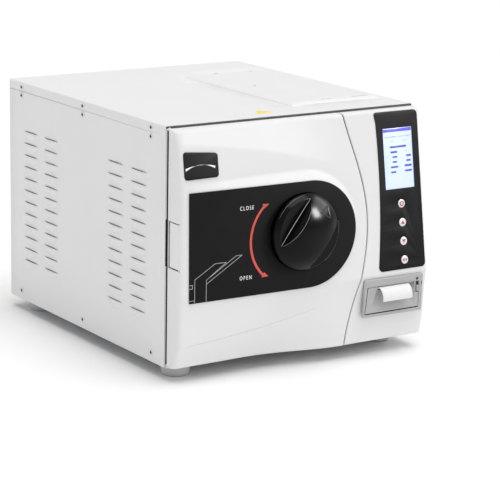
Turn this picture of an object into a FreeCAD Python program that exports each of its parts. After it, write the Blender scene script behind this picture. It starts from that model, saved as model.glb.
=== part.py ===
import FreeCAD, Part
import math
import os
import re

import Sketcher
from FreeCAD import Placement, Rotation, Vector

# Benchtop autoclave, in millimetres. +Z is up, the door faces -Y, +X is to the right of a
# person facing the door. The origin is on the bench, under the middle of the whole machine.
# Every size below is a cell of the spreadsheet; formulas further down name the cells.

SIZES = {
    # casing
    "case_width": 445, "case_depth": 490, "case_height": 362, "foot_height": 20,
    "front_y": -208, "sheet": 1.5, "cover_flange": 14.5, "seam_gap": 1,
    "foot_radius": 22.5, "foot_x": 187, "foot_front": 24, "foot_rear": 445,
    "lid_left": 38, "lid_right": 208, "lid_front": -150, "lid_rear": 160, "lid_rise": 4,
    "screw_radius": 3.6, "screw_head": 1.8,
    "louvre_length": 45, "louvre_height": 13, "louvre_slit": 1.8, "louvre_pitch": 19.4,
    "louvre_pair": 68.3, "louvre_group": 272.6, "louvre_low": 77, "louvre_rows": 12,
    "louvre_y": -154.6, "louvre_rise": 2.4,
    # chamber, on the axis of the door knob
    "axis_x": -15, "axis_z": 215, "bore": 98, "vessel_wall": 3, "ring_bore": 109.5, "ring_outer": 128,
    "flange_y": -173, "vessel_front": -160, "vessel_rear": 190, "jacket_radius": 118,
    "seal_inner": 99, "seal_outer": 104, "seal_gap": 0.3,
    # door
    "seam_mid": 91, "seam_swing": 21, "seam_z": 224, "seam_wave": 212, "seam_width": 2, "shell": 2.5,
    "door_back": -210.5, "door_low": 23, "door_high": 378, "door_z": 208,
    "plate_left": -210, "plate_radius": 82.5, "plate_x": -1, "plate_y": -262, "plate_rim": 5,
    "platform_back": 32,
    "hinge_x": -214, "hinge_y": -219, "knuckle": 5.5, "pin_radius": 3, "pin_gap": 0.05,
    "hinge_half": 33, "arm_front": -232, "arm_back": -220, "arm_half": 26,
    "disc_radius": 104.5, "disc_front": -188, "disc_back": -176.5, "post_offset": 80,
    # lock
    "bolt_front": -199, "bolt_back": -189, "bolt_half": 12, "bolt_in": 28, "bolt_out": 103,
    "bolt_travel": 15, "follower": 34, "follower_radius": 4, "slot_gap": 0.4,
    "cam_radius": 60, "cam_front": -210, "cam_back": -205, "shaft_radius": 8, "bush_radius": 12,
    "knob_radius": 58.5, "knob_back": -265, "knob_front": -300, "knob_tilt": 51.5,
    "grip_half": 28, "grip_step": 12,
    # console
    "console_tilt": 8.8, "console_y": -265.4, "console_z": 129,
    "pad_left": 135.5, "pad_right": 218.5, "pad_low": 6, "pad_high": 247, "pad_thick": 0.8,
    "screen_left": 150.4, "screen_right": 206, "screen_low": 130, "screen_high": 223.6,
    "button_x": 178.4, "button_v": 19.3, "button_pitch": 29.1, "button_radius": 6.2,
    # printer
    "printer_left": 98.5, "printer_right": 210.5, "printer_low": 65.5, "printer_high": 124.5,
    "bezel_front": -269.6, "bezel_back": -265.6, "hatch_left": 105, "hatch_right": 206,
    "hatch_low": 72, "hatch_high": 112.5, "hatch_back": -267, "lever_left": 202, "lever_low": 98,
    "roll_left": 128, "roll_radius": 19, "roll_y": -234, "roll_z": 92, "paper_width": 57,
    # water and vacuum
    "tank_left": -214, "tank_front": -100, "boiler_x": 172, "boiler_z": 62, "boiler_radius": 30,
    "boiler_front": -60, "boiler_length": 170, "pump_x": -172, "pump_z": 80, "pump_radius": 33,
    "pump_front": 30, "pump_head": 34, "pump_length": 170, "manifold_left": -208, "manifold_right": -150,
    "manifold_front": -120, "manifold_rear": -30, "coil_pitch": 29, "coil_radius": 11,
    # rear
    "rear_end": 303, "fan_x": -10, "fan_z": 140, "fan_radius": 54, "fan_half": 60, "fan_front": 254,
    "fan_depth": 25, "fin_pitch": 11, "fin_front": 228, "fin_depth": 20, "grille_pitch": 10.5,
    "valve_x": -150, "valve_z": 300, "inlet_x": 170, "inlet_z": 60, "switch_z": 96,
    "drain_a": -190, "drain_b": -155, "drain_z": 55, "vent_left": 60, "vent_right": 190,
    "vent_low": 230, "vent_pitch": 16, "board_x": 213, "board_front": -90, "board_rear": 130,
    "board_low": 140, "board_high": 300,
}

doc = FreeCAD.newDocument("Autoclave")
sheet = doc.addObject("Spreadsheet::Sheet", "Sizes")
for row, (alias, value) in enumerate(SIZES.items(), start=1):
    sheet.set(f"A{row}", alias)
    sheet.set(f"B{row}", str(value))
    sheet.setAlias(f"B{row}", alias)
doc.recompute()

nodes = []


def bound(formula):
    """The formula with each size's name turned into a reference to its cell."""
    return re.sub(r"[a-z][a-z_]*", lambda m: "Sizes." + m[0] if m[0] in SIZES else m[0], str(formula))


def number(name):
    """A size read from the sheet, for shapes that code makes directly."""
    return float(getattr(sheet, name))


def keep(item):
    """Mark a finished sub-part, whose Label names its file."""
    nodes.append(item)
    return item


# ---------------------------------------------------------------- primitives and booleans

TURN = {"x": Rotation(Vector(0, 1, 0), 90), "y": Rotation(Vector(1, 0, 0), -90), "z": Rotation()}


def place(item, x=0, y=0, z=0):
    for axis, formula in zip("xyz", (x, y, z)):
        item.setExpression("Placement.Base." + axis, bound(formula))
    return item


def box(name, x, y, z):
    """A block between two formulas on each axis."""
    item = doc.addObject("Part::Box", name)
    for side, (low, high) in zip(("Length", "Width", "Height"), (x, y, z)):
        item.setExpression(side, bound(f"({high}) - ({low})"))
    return place(item, x[0], y[0], z[0])


def rod(name, axis, radius, start, length):
    """A cylinder along axis x, y or z from a start point."""
    item = doc.addObject("Part::Cylinder", name)
    item.Placement = Placement(Vector(), TURN[axis])
    item.setExpression("Radius", bound(radius))
    item.setExpression("Height", bound(length))
    return place(item, *start)


def fuse(name, *parts):
    item = doc.addObject("Part::MultiFuse", name)
    item.Shapes = list(parts)
    return item


def cut(name, base, *tools):
    item = doc.addObject("Part::Cut", name)
    item.Base = base
    item.Tool = tools[0] if len(tools) == 1 else fuse(name + "_tools", *tools)
    return item


def group(name, parts):
    """Several separate solids of one kind, kept as one sub-part."""
    item = doc.addObject("Part::Compound", name)
    item.Links = list(parts)
    return item


def hollow_box(name, x, y, z, wall, top="0"):
    """A box with walls on every side but, where top is above 0, open at the top."""
    inside = [(f"{low} + {wall}", f"{high} - {wall}") for low, high in (x, y, z)]
    inside[2] = (inside[2][0], f"{inside[2][1]} + {top}")
    return cut(name, box(name + "_outside", x, y, z), box(name + "_inside", *inside))


# ---------------------------------------------------------------- bodies with sketches

NORMAL = {"XY_Plane": 1, "YZ_Plane": 1, "XZ_Plane": -1}


def new_body(name):
    return doc.addObject("PartDesign::Body", name)


def sketch_on(body, role, offset=0):
    """A sketch on one of the body's own planes, moved to a coordinate on that plane's axis."""
    item = body.newObject("Sketcher::SketchObject", body.Name + "_sketch")
    item.AttachmentSupport = [(next(f for f in body.Origin.OriginFeatures if f.Role == role), "")]
    item.MapMode = "FlatFace"
    sign = "" if NORMAL[role] > 0 else "-"
    item.setExpression("AttachmentOffset.Base.z", bound(f"{sign}({offset})"))
    return item


def polygon(sketch, points):
    """A closed outline whose corners are formulas."""
    first = sketch.GeometryCount
    count = len(points)
    angles = [2 * math.pi * i / count for i in range(count)]
    rough = [Vector(100 * math.cos(a), 100 * math.sin(a), 0) for a in angles]
    for i in range(count):
        sketch.addGeometry(Part.LineSegment(rough[i], rough[(i + 1) % count]))
    for i in range(count):
        sketch.addConstraint(Sketcher.Constraint("Coincident", first + i, 2, first + (i + 1) % count, 1))
    for i, point in enumerate(points):
        for kind, formula in zip(("DistanceX", "DistanceY"), point):
            index = sketch.addConstraint(Sketcher.Constraint(kind, -1, 1, first + i, 1, 1.0))
            sketch.setExpression(f"Constraints[{index}]", bound(formula))


def rectangle(sketch, x, y):
    polygon(sketch, [(x[0], y[0]), (x[1], y[0]), (x[1], y[1]), (x[0], y[1])])


def circle(sketch, x, y, radius):
    index = sketch.addGeometry(Part.Circle(Vector(1, 1, 0), Vector(0, 0, 1), 10))
    for kind, formula in (("DistanceX", x), ("DistanceY", y)):
        row = sketch.addConstraint(Sketcher.Constraint(kind, -1, 1, index, 3, 1.0))
        sketch.setExpression(f"Constraints[{row}]", bound(formula))
    row = sketch.addConstraint(Sketcher.Constraint("Radius", index, 10))
    sketch.setExpression(f"Constraints[{row}]", bound(radius))


def feature(body, kind, sketch, name, **settings):
    item = body.newObject("PartDesign::" + kind, body.Name + "_" + name)
    item.Profile = sketch
    for key, value in settings.items():
        setattr(item, key, value)
    return item


def extrude(body, kind, role, low, high, name):
    """Start a Pad or Pocket between two coordinates on the plane's axis; returns its sketch."""
    pad = kind == "Pad"
    start = low if (NORMAL[role] > 0) == pad else high
    sketch = sketch_on(body, role, start)
    item = feature(body, kind, sketch, name)
    item.setExpression("Length", bound(f"({high}) - ({low})"))
    return sketch


def slab(name, role, low, high, points):
    """A body padded from one outline."""
    body = new_body(name)
    polygon(extrude(body, "Pad", role, low, high, "pad"), points)
    return body


def corners(x, y):
    return [(x[0], y[0]), (x[1], y[0]), (x[1], y[1]), (x[0], y[1])]


def turned(name, points):
    """A body revolved about the chamber's axis, from corners (radius, world y)."""
    body = new_body(name)
    sketch = sketch_on(body, "XZ_Plane")
    polygon(sketch, points)
    feature(body, "Revolution", sketch, "turn", ReferenceAxis=(sketch, ["V_Axis"]), Angle=360)
    return on_axis(body)


def on_axis(item, angle=0):
    """Stand an item on the chamber's axis: its own Z becomes +Y, then it turns about that axis."""
    item.Placement = Placement(Vector(), Rotation(Vector(0, -1, 0), angle).multiply(TURN["y"]))
    return place(item, "axis_x", 0, "axis_z")


def polar(body, original, count):
    """Repeat a feature about the body's own Z axis."""
    item = body.newObject("PartDesign::PolarPattern", body.Name + "_ring")
    item.Originals = [original]
    item.Axis = (next(f for f in body.Origin.OriginFeatures if f.Role == "Z_Axis"), [""])
    item.Angle = 360
    item.Occurrences = count
    body.Tip = item
    return item


def round_edges(body, radius, chosen):
    """Fillet the edges of the body's tip that the test picks."""
    doc.recompute()
    base = body.Tip
    names = [f"Edge{i}" for i, edge in enumerate(base.Shape.Edges, start=1) if chosen(edge)]
    item = body.newObject("PartDesign::Fillet", body.Name + "_round")
    item.Base = (base, names)
    item.setExpression("Radius", bound(radius))
    return item


def along(axis):
    """A test for straight edges along one of the world's axes."""
    def chosen(edge):
        if edge.Curve.TypeId != "Part::GeomLine":
            return False
        return abs(abs(edge.tangentAt(edge.FirstParameter).dot(axis)) - 1) < 1e-6
    return chosen


HALF = "case_width/2"
INNER = "case_width/2 - sheet"
REAR = "front_y + case_depth"
TOP = "foot_height + case_height"
PANEL_TOP = "foot_height + case_height - cover_flange - seam_gap"


# ---------------------------------------------------------------- casing

def make_base_pan():
    low, high = "foot_height", "foot_height + sheet"
    edge, lip = "case_width/2 - sheet - 0.1", "foot_height + 25"
    profile = [(f"-({edge})", low), (edge, low), (edge, lip), (f"{edge} - sheet", lip)]
    profile += [(f"{edge} - sheet", high), (f"-({edge} - sheet)", high)]
    profile += [(f"-({edge} - sheet)", lip), (f"-({edge})", lip)]
    return slab("base_pan", "XZ_Plane", "front_y + sheet + 0.1", f"{REAR} - sheet - 0.1", profile)


def make_front_panel():
    body = slab("front_panel", "XZ_Plane", "front_y", "front_y + sheet",
                corners((f"-({INNER} - 0.1)", f"{INNER} - 0.1"), ("foot_height", f"{TOP} - sheet - 0.1")))
    low, high = "front_y - 1", "front_y + sheet + 1"
    circle(extrude(body, "Pocket", "XZ_Plane", low, high, "chamber"), "axis_x", "axis_z", "ring_bore")
    hinge = extrude(body, "Pocket", "XZ_Plane", low, high, "hinge")
    rectangle(hinge, ("hinge_x - 2.5", "hinge_x + 12"), ("door_z - 16", "door_z + 16"))
    wiring = extrude(body, "Pocket", "XZ_Plane", low, high, "wiring")
    rectangle(wiring, ("ring_outer + 1", "case_width/2 - 14"), ("printer_low - 5", "door_z + 130"))
    return body


def make_rear_panel():
    body = slab("rear_panel", "XZ_Plane", f"{REAR} - sheet", REAR,
                corners((f"-({INNER} - 0.1)", f"{INNER} - 0.1"), ("foot_height", f"{TOP} - sheet - 0.1")))
    low, high = f"{REAR} - sheet - 1", f"{REAR} + 1"
    for name, x, z, radius in (("valve", "valve_x", "valve_z", "9.2"),
                               ("drain_a", "drain_a", "drain_z", "6.2"),
                               ("drain_b", "drain_b", "drain_z", "6.2")):
        circle(extrude(body, "Pocket", "XZ_Plane", low, high, name), x, z, radius)
    inlet = extrude(body, "Pocket", "XZ_Plane", low, high, "inlet")
    rectangle(inlet, ("inlet_x - 13.5", "inlet_x + 13.5"), ("inlet_z - 10", "switch_z + 14"))
    grille = extrude(body, "Pocket", "XZ_Plane", low, high, "grille")
    for row in range(-4, 5):
        reach = "fan_radius - 8" if abs(row) < 3 else "fan_radius - 20"
        middle = f"fan_z + grille_pitch*({row})"
        rectangle(grille, (f"fan_x - ({reach})", f"fan_x + {reach}"), (f"{middle} - 2.5", f"{middle} + 2.5"))
    vents = extrude(body, "Pocket", "XZ_Plane", low, high, "vents")
    for row in range(5):
        start = f"vent_low + vent_pitch*{row}"
        rectangle(vents, ("vent_left", "vent_right"), (start, f"{start} + 4"))
    return body


def make_side_panel(name, side):
    """A side sheet with rows of louvres: a slit, and below it a half-moon pressed outwards."""
    inner, outer = (INNER, HALF) if side > 0 else (f"-({HALF})", f"-({INNER})")
    proud = ("case_width/2 - 0.2", "case_width/2 + louvre_rise")
    if side < 0:
        proud = (f"-({proud[1]})", f"-({proud[0]})")
    body = slab(name, "YZ_Plane", inner, outer, corners(("front_y", REAR), ("foot_height", PANEL_TOP)))
    hood = extrude(body, "Pad", "YZ_Plane", *proud, "hood")
    end = "louvre_y + louvre_length"
    polygon(hood, [("louvre_y", "louvre_low + louvre_height"),
                   ("louvre_y + louvre_length*0.07", "louvre_low + louvre_height*0.5"),
                   ("louvre_y + louvre_length*0.25", "louvre_low + louvre_height*0.12"),
                   ("louvre_y + louvre_length*0.42", "louvre_low"),
                   (f"{end} - louvre_length*0.42", "louvre_low"),
                   (f"{end} - louvre_length*0.25", "louvre_low + louvre_height*0.12"),
                   (f"{end} - louvre_length*0.07", "louvre_low + louvre_height*0.5"),
                   (end, "louvre_low + louvre_height")])
    raised = body.Tip
    slit = extrude(body, "Pocket", "YZ_Plane", f"{inner} - 1", f"{outer} + 1", "slit")
    top = "louvre_low + louvre_height"
    rectangle(slit, ("louvre_y + 1", f"{end} - 1"), (top, f"{top} + louvre_slit"))
    doc.recompute()
    repeat = body.newObject("PartDesign::MultiTransform", name + "_louvres")
    repeat.Originals = [raised, body.Tip]
    body.Tip = repeat
    steps = (("Z_Axis", "louvre_pitch*(louvre_rows - 1)", "louvre_rows"),
             ("Y_Axis", "louvre_pair", "2"), ("Y_Axis", "louvre_group", "2"))
    patterns = []
    for index, (axis, length, count) in enumerate(steps):
        step = body.newObject("PartDesign::LinearPattern", f"{name}_step_{index}")
        step.Direction = (next(f for f in body.Origin.OriginFeatures if f.Role == axis), [""])
        step.setExpression("Length", bound(length))
        step.setExpression("Occurrences", bound(count))
        patterns.append(step)
    repeat.Transformations = patterns
    body.Tip = repeat
    return body


def make_top_cover():
    low, high = f"{TOP} - cover_flange", TOP
    inner = f"{TOP} - sheet"
    profile = [(f"-({HALF})", low), (f"-({INNER})", low), (f"-({INNER})", inner), (INNER, inner)]
    profile += [(INNER, low), (HALF, low), (HALF, high), (f"-({HALF})", high)]
    body = slab("top_cover", "XZ_Plane", "front_y", REAR, profile)
    hatch = extrude(body, "Pocket", "XY_Plane", f"{inner} - 1", f"{high} + 1", "hatch")
    rectangle(hatch, ("lid_left + 12", "lid_right - 12"), ("lid_front + 12", "lid_rear - 12"))
    return body


def make_tank_lid():
    rest = f"{TOP} + 0.2"
    skirt = cut("tank_lid_skirt",
                box("tank_lid_plate", ("lid_left", "lid_right"), ("lid_front", "lid_rear"),
                    (rest, f"{TOP} + lid_rise")),
                box("tank_lid_under", ("lid_left + 2", "lid_right - 2"), ("lid_front + 2", "lid_rear - 2"),
                    (f"{TOP} - 1", f"{TOP} + lid_rise - 2")))
    tongue = cut("tank_lid_tongue",
                 box("tank_lid_plug", ("lid_left + 13", "lid_right - 13"),
                     ("lid_front + 13", "lid_rear - 13"), (f"{TOP} - 6", f"{TOP} + lid_rise - 1")),
                 box("tank_lid_hollow", ("lid_left + 15", "lid_right - 15"),
                     ("lid_front + 15", "lid_rear - 15"), (f"{TOP} - 7", f"{TOP} + lid_rise - 2")))
    return fuse("tank_lid", skirt, tongue)


def make_feet():
    feet = []
    for x in ("-foot_x", "foot_x"):
        for y in ("foot_front", "foot_rear"):
            foot = doc.addObject("Part::Cone", "foot")
            foot.setExpression("Radius1", bound("foot_radius - 2"))
            foot.setExpression("Radius2", bound("foot_radius"))
            foot.setExpression("Height", bound("foot_height"))
            feet.append(place(foot, x, f"front_y + {y}", 0))
    return group("feet", feet)


def make_casing_screws():
    """Pan heads down both sides and across the back, each standing on its sheet."""
    heads = []
    lowest, highest = "foot_height + 15", "foot_height + 354"
    spots = [(y, z) for y in ("39.5", "244", "446") for z in (highest, "foot_height + 340.6")]
    spots += [(y, lowest) for y in ("34", "243.5", "449.5")]
    for start in (HALF, f"-({HALF}) - screw_head"):
        for y, z in spots:
            heads.append(rod("side_screw", "x", "screw_radius", (start, f"front_y + {y}", z), "screw_head"))
    for x in ("-190", "0", "200"):
        for z in (lowest, highest):
            heads.append(rod("rear_screw", "y", "screw_radius", (x, REAR, z), "screw_head"))
    return group("casing_screws", heads)


# ---------------------------------------------------------------- chamber

def make_lock_ring():
    """The flange of the chamber, with a pocket behind its lip for each bolt."""
    ring = turned("lock_ring", [("ring_bore", "front_y + sheet + 0.1"),
                                ("ring_outer", "front_y + sheet + 0.1"),
                                ("ring_outer", "vessel_front"), ("bore", "vessel_front"),
                                ("bore", "flange_y"), ("ring_bore", "flange_y")])
    pocket = extrude(ring, "Pocket", "XY_Plane", "bolt_front - 1", "bolt_back + 1", "pocket")
    rectangle(pocket, ("-(bolt_half + 1)", "bolt_half + 1"), ("-(bolt_out + bolt_travel + 4)", "-80"))
    polar(ring, ring.Tip, 3)
    return ring


def make_chamber_vessel():
    outer = "bore + vessel_wall"
    return turned("chamber_vessel", [("bore", "vessel_front"), (outer, "vessel_front"),
                                     (outer, "vessel_rear"), ("bore*0.6", "vessel_rear + 14"),
                                     ("0", "vessel_rear + 17"), ("0", "vessel_rear + 14"),
                                     ("bore*0.6 - 1", "vessel_rear + 11"), ("bore", "vessel_rear - 2")])


def make_chamber_gasket():
    section = corners(("seal_inner", "seal_outer"), ("disc_back + seal_gap", "flange_y"))
    return turned("chamber_gasket", section)


def make_heater_band():
    wall = "bore + vessel_wall"
    return turned("heater_band", corners((f"{wall} + 0.3", f"{wall} + 2.8"), ("-90", "60")))


def make_insulation_jacket():
    inner = "bore + vessel_wall + 4"
    back = "vessel_rear + 22"
    return turned("insulation_jacket", [(inner, "vessel_front + 2"), ("jacket_radius", "vessel_front + 2"),
                                        ("jacket_radius", f"{back} + 12"), ("0", f"{back} + 12"),
                                        ("0", back), (inner, back)])


def make_chamber_supports():
    saddles = [box("saddle", ("axis_x - 70", "axis_x + 70"), (y, f"{y} + 8"),
                   ("foot_height + sheet", "axis_z - 80")) for y in ("-130", "150")]
    ties = [box("saddle_tie", (x, f"{x} + 6"), ("-122", "150"),
                ("foot_height + sheet", "foot_height + 12")) for x in ("axis_x - 70", "axis_x + 64")]
    space = rod("saddle_space", "y", "jacket_radius + 0.3", ("axis_x", "-140", "axis_z"), "310")
    return cut("chamber_supports", fuse("saddle_frame", *saddles, *ties), space)


RAILS = (-34, 0, 34)


def make_tray_rack():
    """Two side walls with a rail for each tray, tied by bars at both ends."""
    parts = []
    for side in (-1, 1):
        x = sorted((side * 70, side * 71.2))
        parts.append(box("rack_side", tuple(f"axis_x + {v}" for v in x), ("-150", "170"),
                         ("axis_z - 66", "axis_z + 56")))
        reach = sorted((side * 62, side * 71))
        for rail in RAILS:
            parts.append(box("rack_rail", tuple(f"axis_x + {v}" for v in reach), ("-150", "170"),
                             (f"axis_z + {rail - 1.2}", f"axis_z + {rail}")))
    for y in ("-148", "164"):
        for z in ("axis_z - 60", "axis_z + 50"):
            parts.append(box("rack_bar", ("axis_x - 71", "axis_x + 71"), (y, f"{y} + 4"), (z, f"{z} + 4")))
    return fuse("tray_rack", *parts)


def make_trays():
    trays = []
    for rail in RAILS:
        low = f"axis_z + {rail} + 0.1"
        trays.append(hollow_box("tray", ("axis_x - 68", "axis_x + 68"), ("-140", "160"),
                                (low, f"{low} + 15"), "1", top="5"))
    return group("trays", trays)


# ---------------------------------------------------------------- door

def face_profile(left, inset):
    """The door's section from back to front at its left or right edge, as corners (y, z)."""
    back = "-200" if inset else "door_back"
    low, high = (f"door_low + {inset}", f"door_high - {inset}")
    depths = (28, 42, 45, 45, 30, 27) if left else (49, 52.5, 57.4, 27.6, 20.5, 18)
    heights = ("door_low", "61", "150", "345", "371", "door_high")
    points = [(back, low)]
    for index, (depth, height) in enumerate(zip(depths, heights)):
        z = low if index == 0 else high if index == 5 else height
        points.append((f"front_y - {depth} + {inset}", z))
    return points + [(back, high)]


def seam_line(shift):
    """The edge between door and console, a wave of a cosine, as corners (x, z) from low to high."""
    heights = [f"door_low - 3 + (door_high - door_low + 6)*{i}/20" for i in range(21)]
    return [(f"seam_mid + seam_swing*cos(180*({z} - seam_z)/seam_wave) + {shift}", z) for z in heights]


def cut_beyond_seam(body, shift, x):
    """Pocket away everything between the seam and a place across the machine."""
    waste = extrude(body, "Pocket", "XZ_Plane", "front_y - 80", "front_y + 30", "seam")
    polygon(waste, seam_line(shift) + [(x, "door_high + 3"), (x, "door_low - 3")])
    return body


def door_block(name, inset, shift):
    body = new_body(name)
    left = sketch_on(body, "YZ_Plane", f"-({HALF}) + {inset}")
    polygon(left, face_profile(True, inset))
    right = sketch_on(body, "YZ_Plane", HALF)
    polygon(right, face_profile(False, inset))
    loft = feature(body, "AdditiveLoft", left, "loft", Ruled=True)
    loft.Sections = [right]
    return cut_beyond_seam(body, shift, "case_width/2 + 10")


def oval_block(name, radius, left, front, back):
    """A block with one round end, in the outline of the knob plate."""
    return fuse(name,
                box(name + "_straight", (left, "plate_x"), (front, back),
                    (f"door_z - ({radius})", f"door_z + {radius}")),
                rod(name + "_round", "y", radius, ("plate_x", front, "door_z"), f"{back} - ({front})"))


def make_door_outer_cover():
    """The moulded front of the door, open at the back, with a raised oval for the knob plate."""
    shell = cut("door_shell", door_block("door_outside", 0, "0"),
                door_block("door_inside", 2.5, "(-shell)"))
    rim, inset = "plate_radius + plate_rim", "plate_radius + plate_rim - shell"
    edge, back = "plate_left - plate_rim", "front_y - platform_back"
    raised = oval_block("door_platform", rim, edge, "plate_y", back)
    hollow = oval_block("platform_hollow", inset, f"{edge} + shell", "plate_y + shell", f"{back} + 2")
    body = cut("door_raised", fuse("door_with_platform", shell, raised), hollow)
    gap = box("hinge_gap", (f"-({HALF}) - 1", f"-({HALF}) + shell + 0.2"), ("front_y - 41", "front_y"),
              ("door_z - hinge_half", "door_z + hinge_half"))
    hole = rod("knob_hole", "y", "bush_radius + 1", ("axis_x", "front_y - 70", "axis_z"), "70")
    turn = rod("edge_round", "z", "hinge_x + case_width/2 - 0.1", ("hinge_x", "hinge_y", "0"), "400")
    waste = box("edge_corner", (f"-({HALF}) - 1", "hinge_x"), ("hinge_y", "front_y"), ("1", "399"))
    return cut("door_outer_cover", body, gap, hole, cut("edge_waste", waste, turn))


def make_door_inner_cover():
    body = new_body("door_inner_cover")
    plate = extrude(body, "Pad", "XZ_Plane", "door_back - 2.4", "door_back", "pad")
    rectangle(plate, ("hinge_x - 2", "seam_mid + seam_swing + 5"), ("door_low + 3", "door_high - 3"))
    cut_beyond_seam(body, "(-shell - 0.3)", "case_width/2 + 10")
    low, high = "door_back - 4", "door_back + 2"
    circle(extrude(body, "Pocket", "XZ_Plane", low, high, "disc"), "axis_x", "axis_z", "disc_radius - 4")
    hinge = extrude(body, "Pocket", "XZ_Plane", low, high, "hinge")
    rectangle(hinge, ("hinge_x - 10", "hinge_x + 14"), ("door_z - hinge_half", "door_z + hinge_half"))
    return body


def make_knob_plate():
    plate = oval_block("knob_plate_oval", "plate_radius", "plate_left", "plate_y - 2", "plate_y")
    hole = rod("knob_plate_hole", "y", "bush_radius + 1", ("axis_x", "plate_y - 3", "axis_z"), "4")
    return cut("knob_plate", plate, hole)


def make_badge_plate():
    body = slab("badge_plate", "XZ_Plane", "front_y - 47", "front_y - 45.1",
                corners(("-218", "-160"), ("308", "348")))
    round_edges(body, "3", along(Vector(0, 1, 0)))
    return body


def make_hinge_bracket():
    knuckle = ("door_z - 14.7", "29.4")
    solid = fuse("hinge_bracket_solid",
                 rod("bracket_knuckle", "z", "knuckle", ("hinge_x", "hinge_y", knuckle[0]), knuckle[1]),
                 box("bracket_leg", ("hinge_x - 1", "hinge_x + 11"), ("hinge_y", "front_y + sheet + 1"),
                     (knuckle[0], "door_z + 14.7")),
                 box("bracket_plate", ("hinge_x - 2", "hinge_x + 44"),
                     ("front_y + sheet + 0.1", "front_y + sheet + 3"), ("door_z - 27", "door_z + 27")))
    bore = rod("bracket_bore", "z", "pin_radius + 0.02", ("hinge_x", "hinge_y", "door_z - 20"), "40")
    ring_space = rod("bracket_space", "y", "ring_outer + 0.5", ("axis_x", "front_y", "axis_z"), "10")
    return cut("hinge_bracket", solid, bore, ring_space)


def make_hinge_pin():
    return rod("hinge_pin", "z", "pin_radius", ("hinge_x", "hinge_y", "door_z - 29"), "58")


def make_hinge_arm():
    y = ("arm_front", "arm_back")
    parts = [box("arm_bar", ("hinge_x + 11", "axis_x + post_offset + 10"), y,
                 ("door_z - arm_half", "door_z + arm_half")),
             box("arm_column", ("hinge_x + 11", "hinge_x + 26"), y, ("door_z - 29", "door_z + 29"))]
    for low in ("door_z - 29", "door_z + 15"):
        parts.append(box("arm_lug", ("hinge_x", "hinge_x + 12"), y, (low, f"{low} + 14")))
        parts.append(rod("arm_knuckle", "z", "knuckle", ("hinge_x", "hinge_y", low), "14"))
    bore = rod("arm_bore", "z", "pin_radius + pin_gap", ("hinge_x", "hinge_y", "door_z - 40"), "80")
    bush = rod("arm_bush_hole", "y", "bush_radius", ("axis_x", "arm_front - 1", "axis_z"), "14")
    return cut("hinge_arm", fuse("hinge_arm_solid", *parts), bore, bush)


def make_hinge_cover():
    x = f"-({HALF})"
    cap = ("door_z - hinge_half + 0.6", "door_z + hinge_half - 0.6")
    parts = [box("hinge_cap", (x, f"{x} + 2"), ("front_y - 40.4", "hinge_y - 4"), cap)]
    for low in (cap[0], f"{cap[1]} - 2"):
        parts.append(box("hinge_clip", (f"{x} + 1", f"{x} + 7"), ("front_y - 40.4", "front_y - 26"),
                         (low, f"{low} + 2")))
    return fuse("hinge_cover", *parts)


def make_pressure_plate():
    disc = rod("pressure_disc", "y", "disc_radius", ("axis_x", "disc_front", "axis_z"),
               "disc_back - disc_front")
    posts = [rod("disc_post", "y", "6", (f"axis_x {sign} post_offset", "arm_back", "axis_z"),
                 "disc_front - arm_back + 1") for sign in "+-"]
    return fuse("pressure_plate", disc, *posts)


def make_shaft_bush():
    collar = fuse("bush_solid",
                  rod("bush_sleeve", "y", "bush_radius", ("axis_x", "arm_front - 4", "axis_z"), "19"),
                  rod("bush_flange", "y", "bush_radius + 4", ("axis_x", "arm_front - 4", "axis_z"), "4"))
    return cut("shaft_bush", collar, rod("bush_bore", "y", "shaft_radius + pin_gap",
                                         ("axis_x", "arm_front - 10", "axis_z"), "40"))


BOLT_ANGLES = (90, 210, 330)


def make_bolt_guides():
    guides = []
    for angle in BOLT_ANGLES:
        bridge = box("guide_bridge", (70, 94), ("-(bolt_half + 5)", "bolt_half + 5"),
                     ("bolt_front - 7", "disc_front"))
        way = box("guide_way", (60, 100), ("-(bolt_half + 0.4)", "bolt_half + 0.4"),
                  ("bolt_front - 0.4", "disc_front + 1"))
        guides.append(on_axis(cut("guide", bridge, way), angle))
    return group("bolt_guides", guides)


def make_lock_bolt(index, angle):
    """A radial bar with a follower pin that stands forward into the cam's spiral slot."""
    bar = box("bolt_bar", ("bolt_in", "bolt_out"), ("-bolt_half", "bolt_half"), ("bolt_front", "bolt_back"))
    pin = rod("bolt_follower", "z", "follower_radius", ("follower", 0, "cam_front - 1"),
              "bolt_front - cam_front + 2")
    return on_axis(fuse(f"lock_bolt_{index}", bar, pin), angle)


def spiral_slot(angle):
    """A slot in the cam whose middle line moves outwards evenly over a quarter turn."""
    start, travel = number("follower"), number("bolt_travel")
    half = number("follower_radius") + number("slot_gap")
    spare = 9
    turns = [math.radians(-spare + (90 + 2 * spare) * i / 8) for i in range(9)]

    def at(turn, shift):
        radius = start + travel * turn / math.radians(90) + shift
        return Vector(radius * math.cos(turn), -radius * math.sin(turn), number("cam_front") - 1)

    sides = []
    for shift in (-half, half):
        curve = Part.BSplineCurve()
        curve.interpolate([at(turn, shift) for turn in turns])
        sides.append(curve.toShape())
    ends = [Part.LineSegment(at(turn, -half), at(turn, half)).toShape() for turn in (turns[0], turns[-1])]
    wire = Part.Wire(Part.__sortEdges__(sides + ends))
    slot = doc.addObject("Part::Feature", "spiral_slot")
    slot.Shape = Part.Face(wire).extrude(Vector(0, 0, number("cam_back") - number("cam_front") + 2))
    return on_axis(slot, angle)


def make_cam_plate():
    blank = rod("cam_blank", "y", "cam_radius", ("axis_x", "cam_front", "axis_z"), "cam_back - cam_front")
    bore = rod("cam_bore", "y", "shaft_radius", ("axis_x", "cam_front - 1", "axis_z"), "8")
    return cut("cam_plate", blank, bore, *[spiral_slot(angle) for angle in BOLT_ANGLES])


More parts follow.
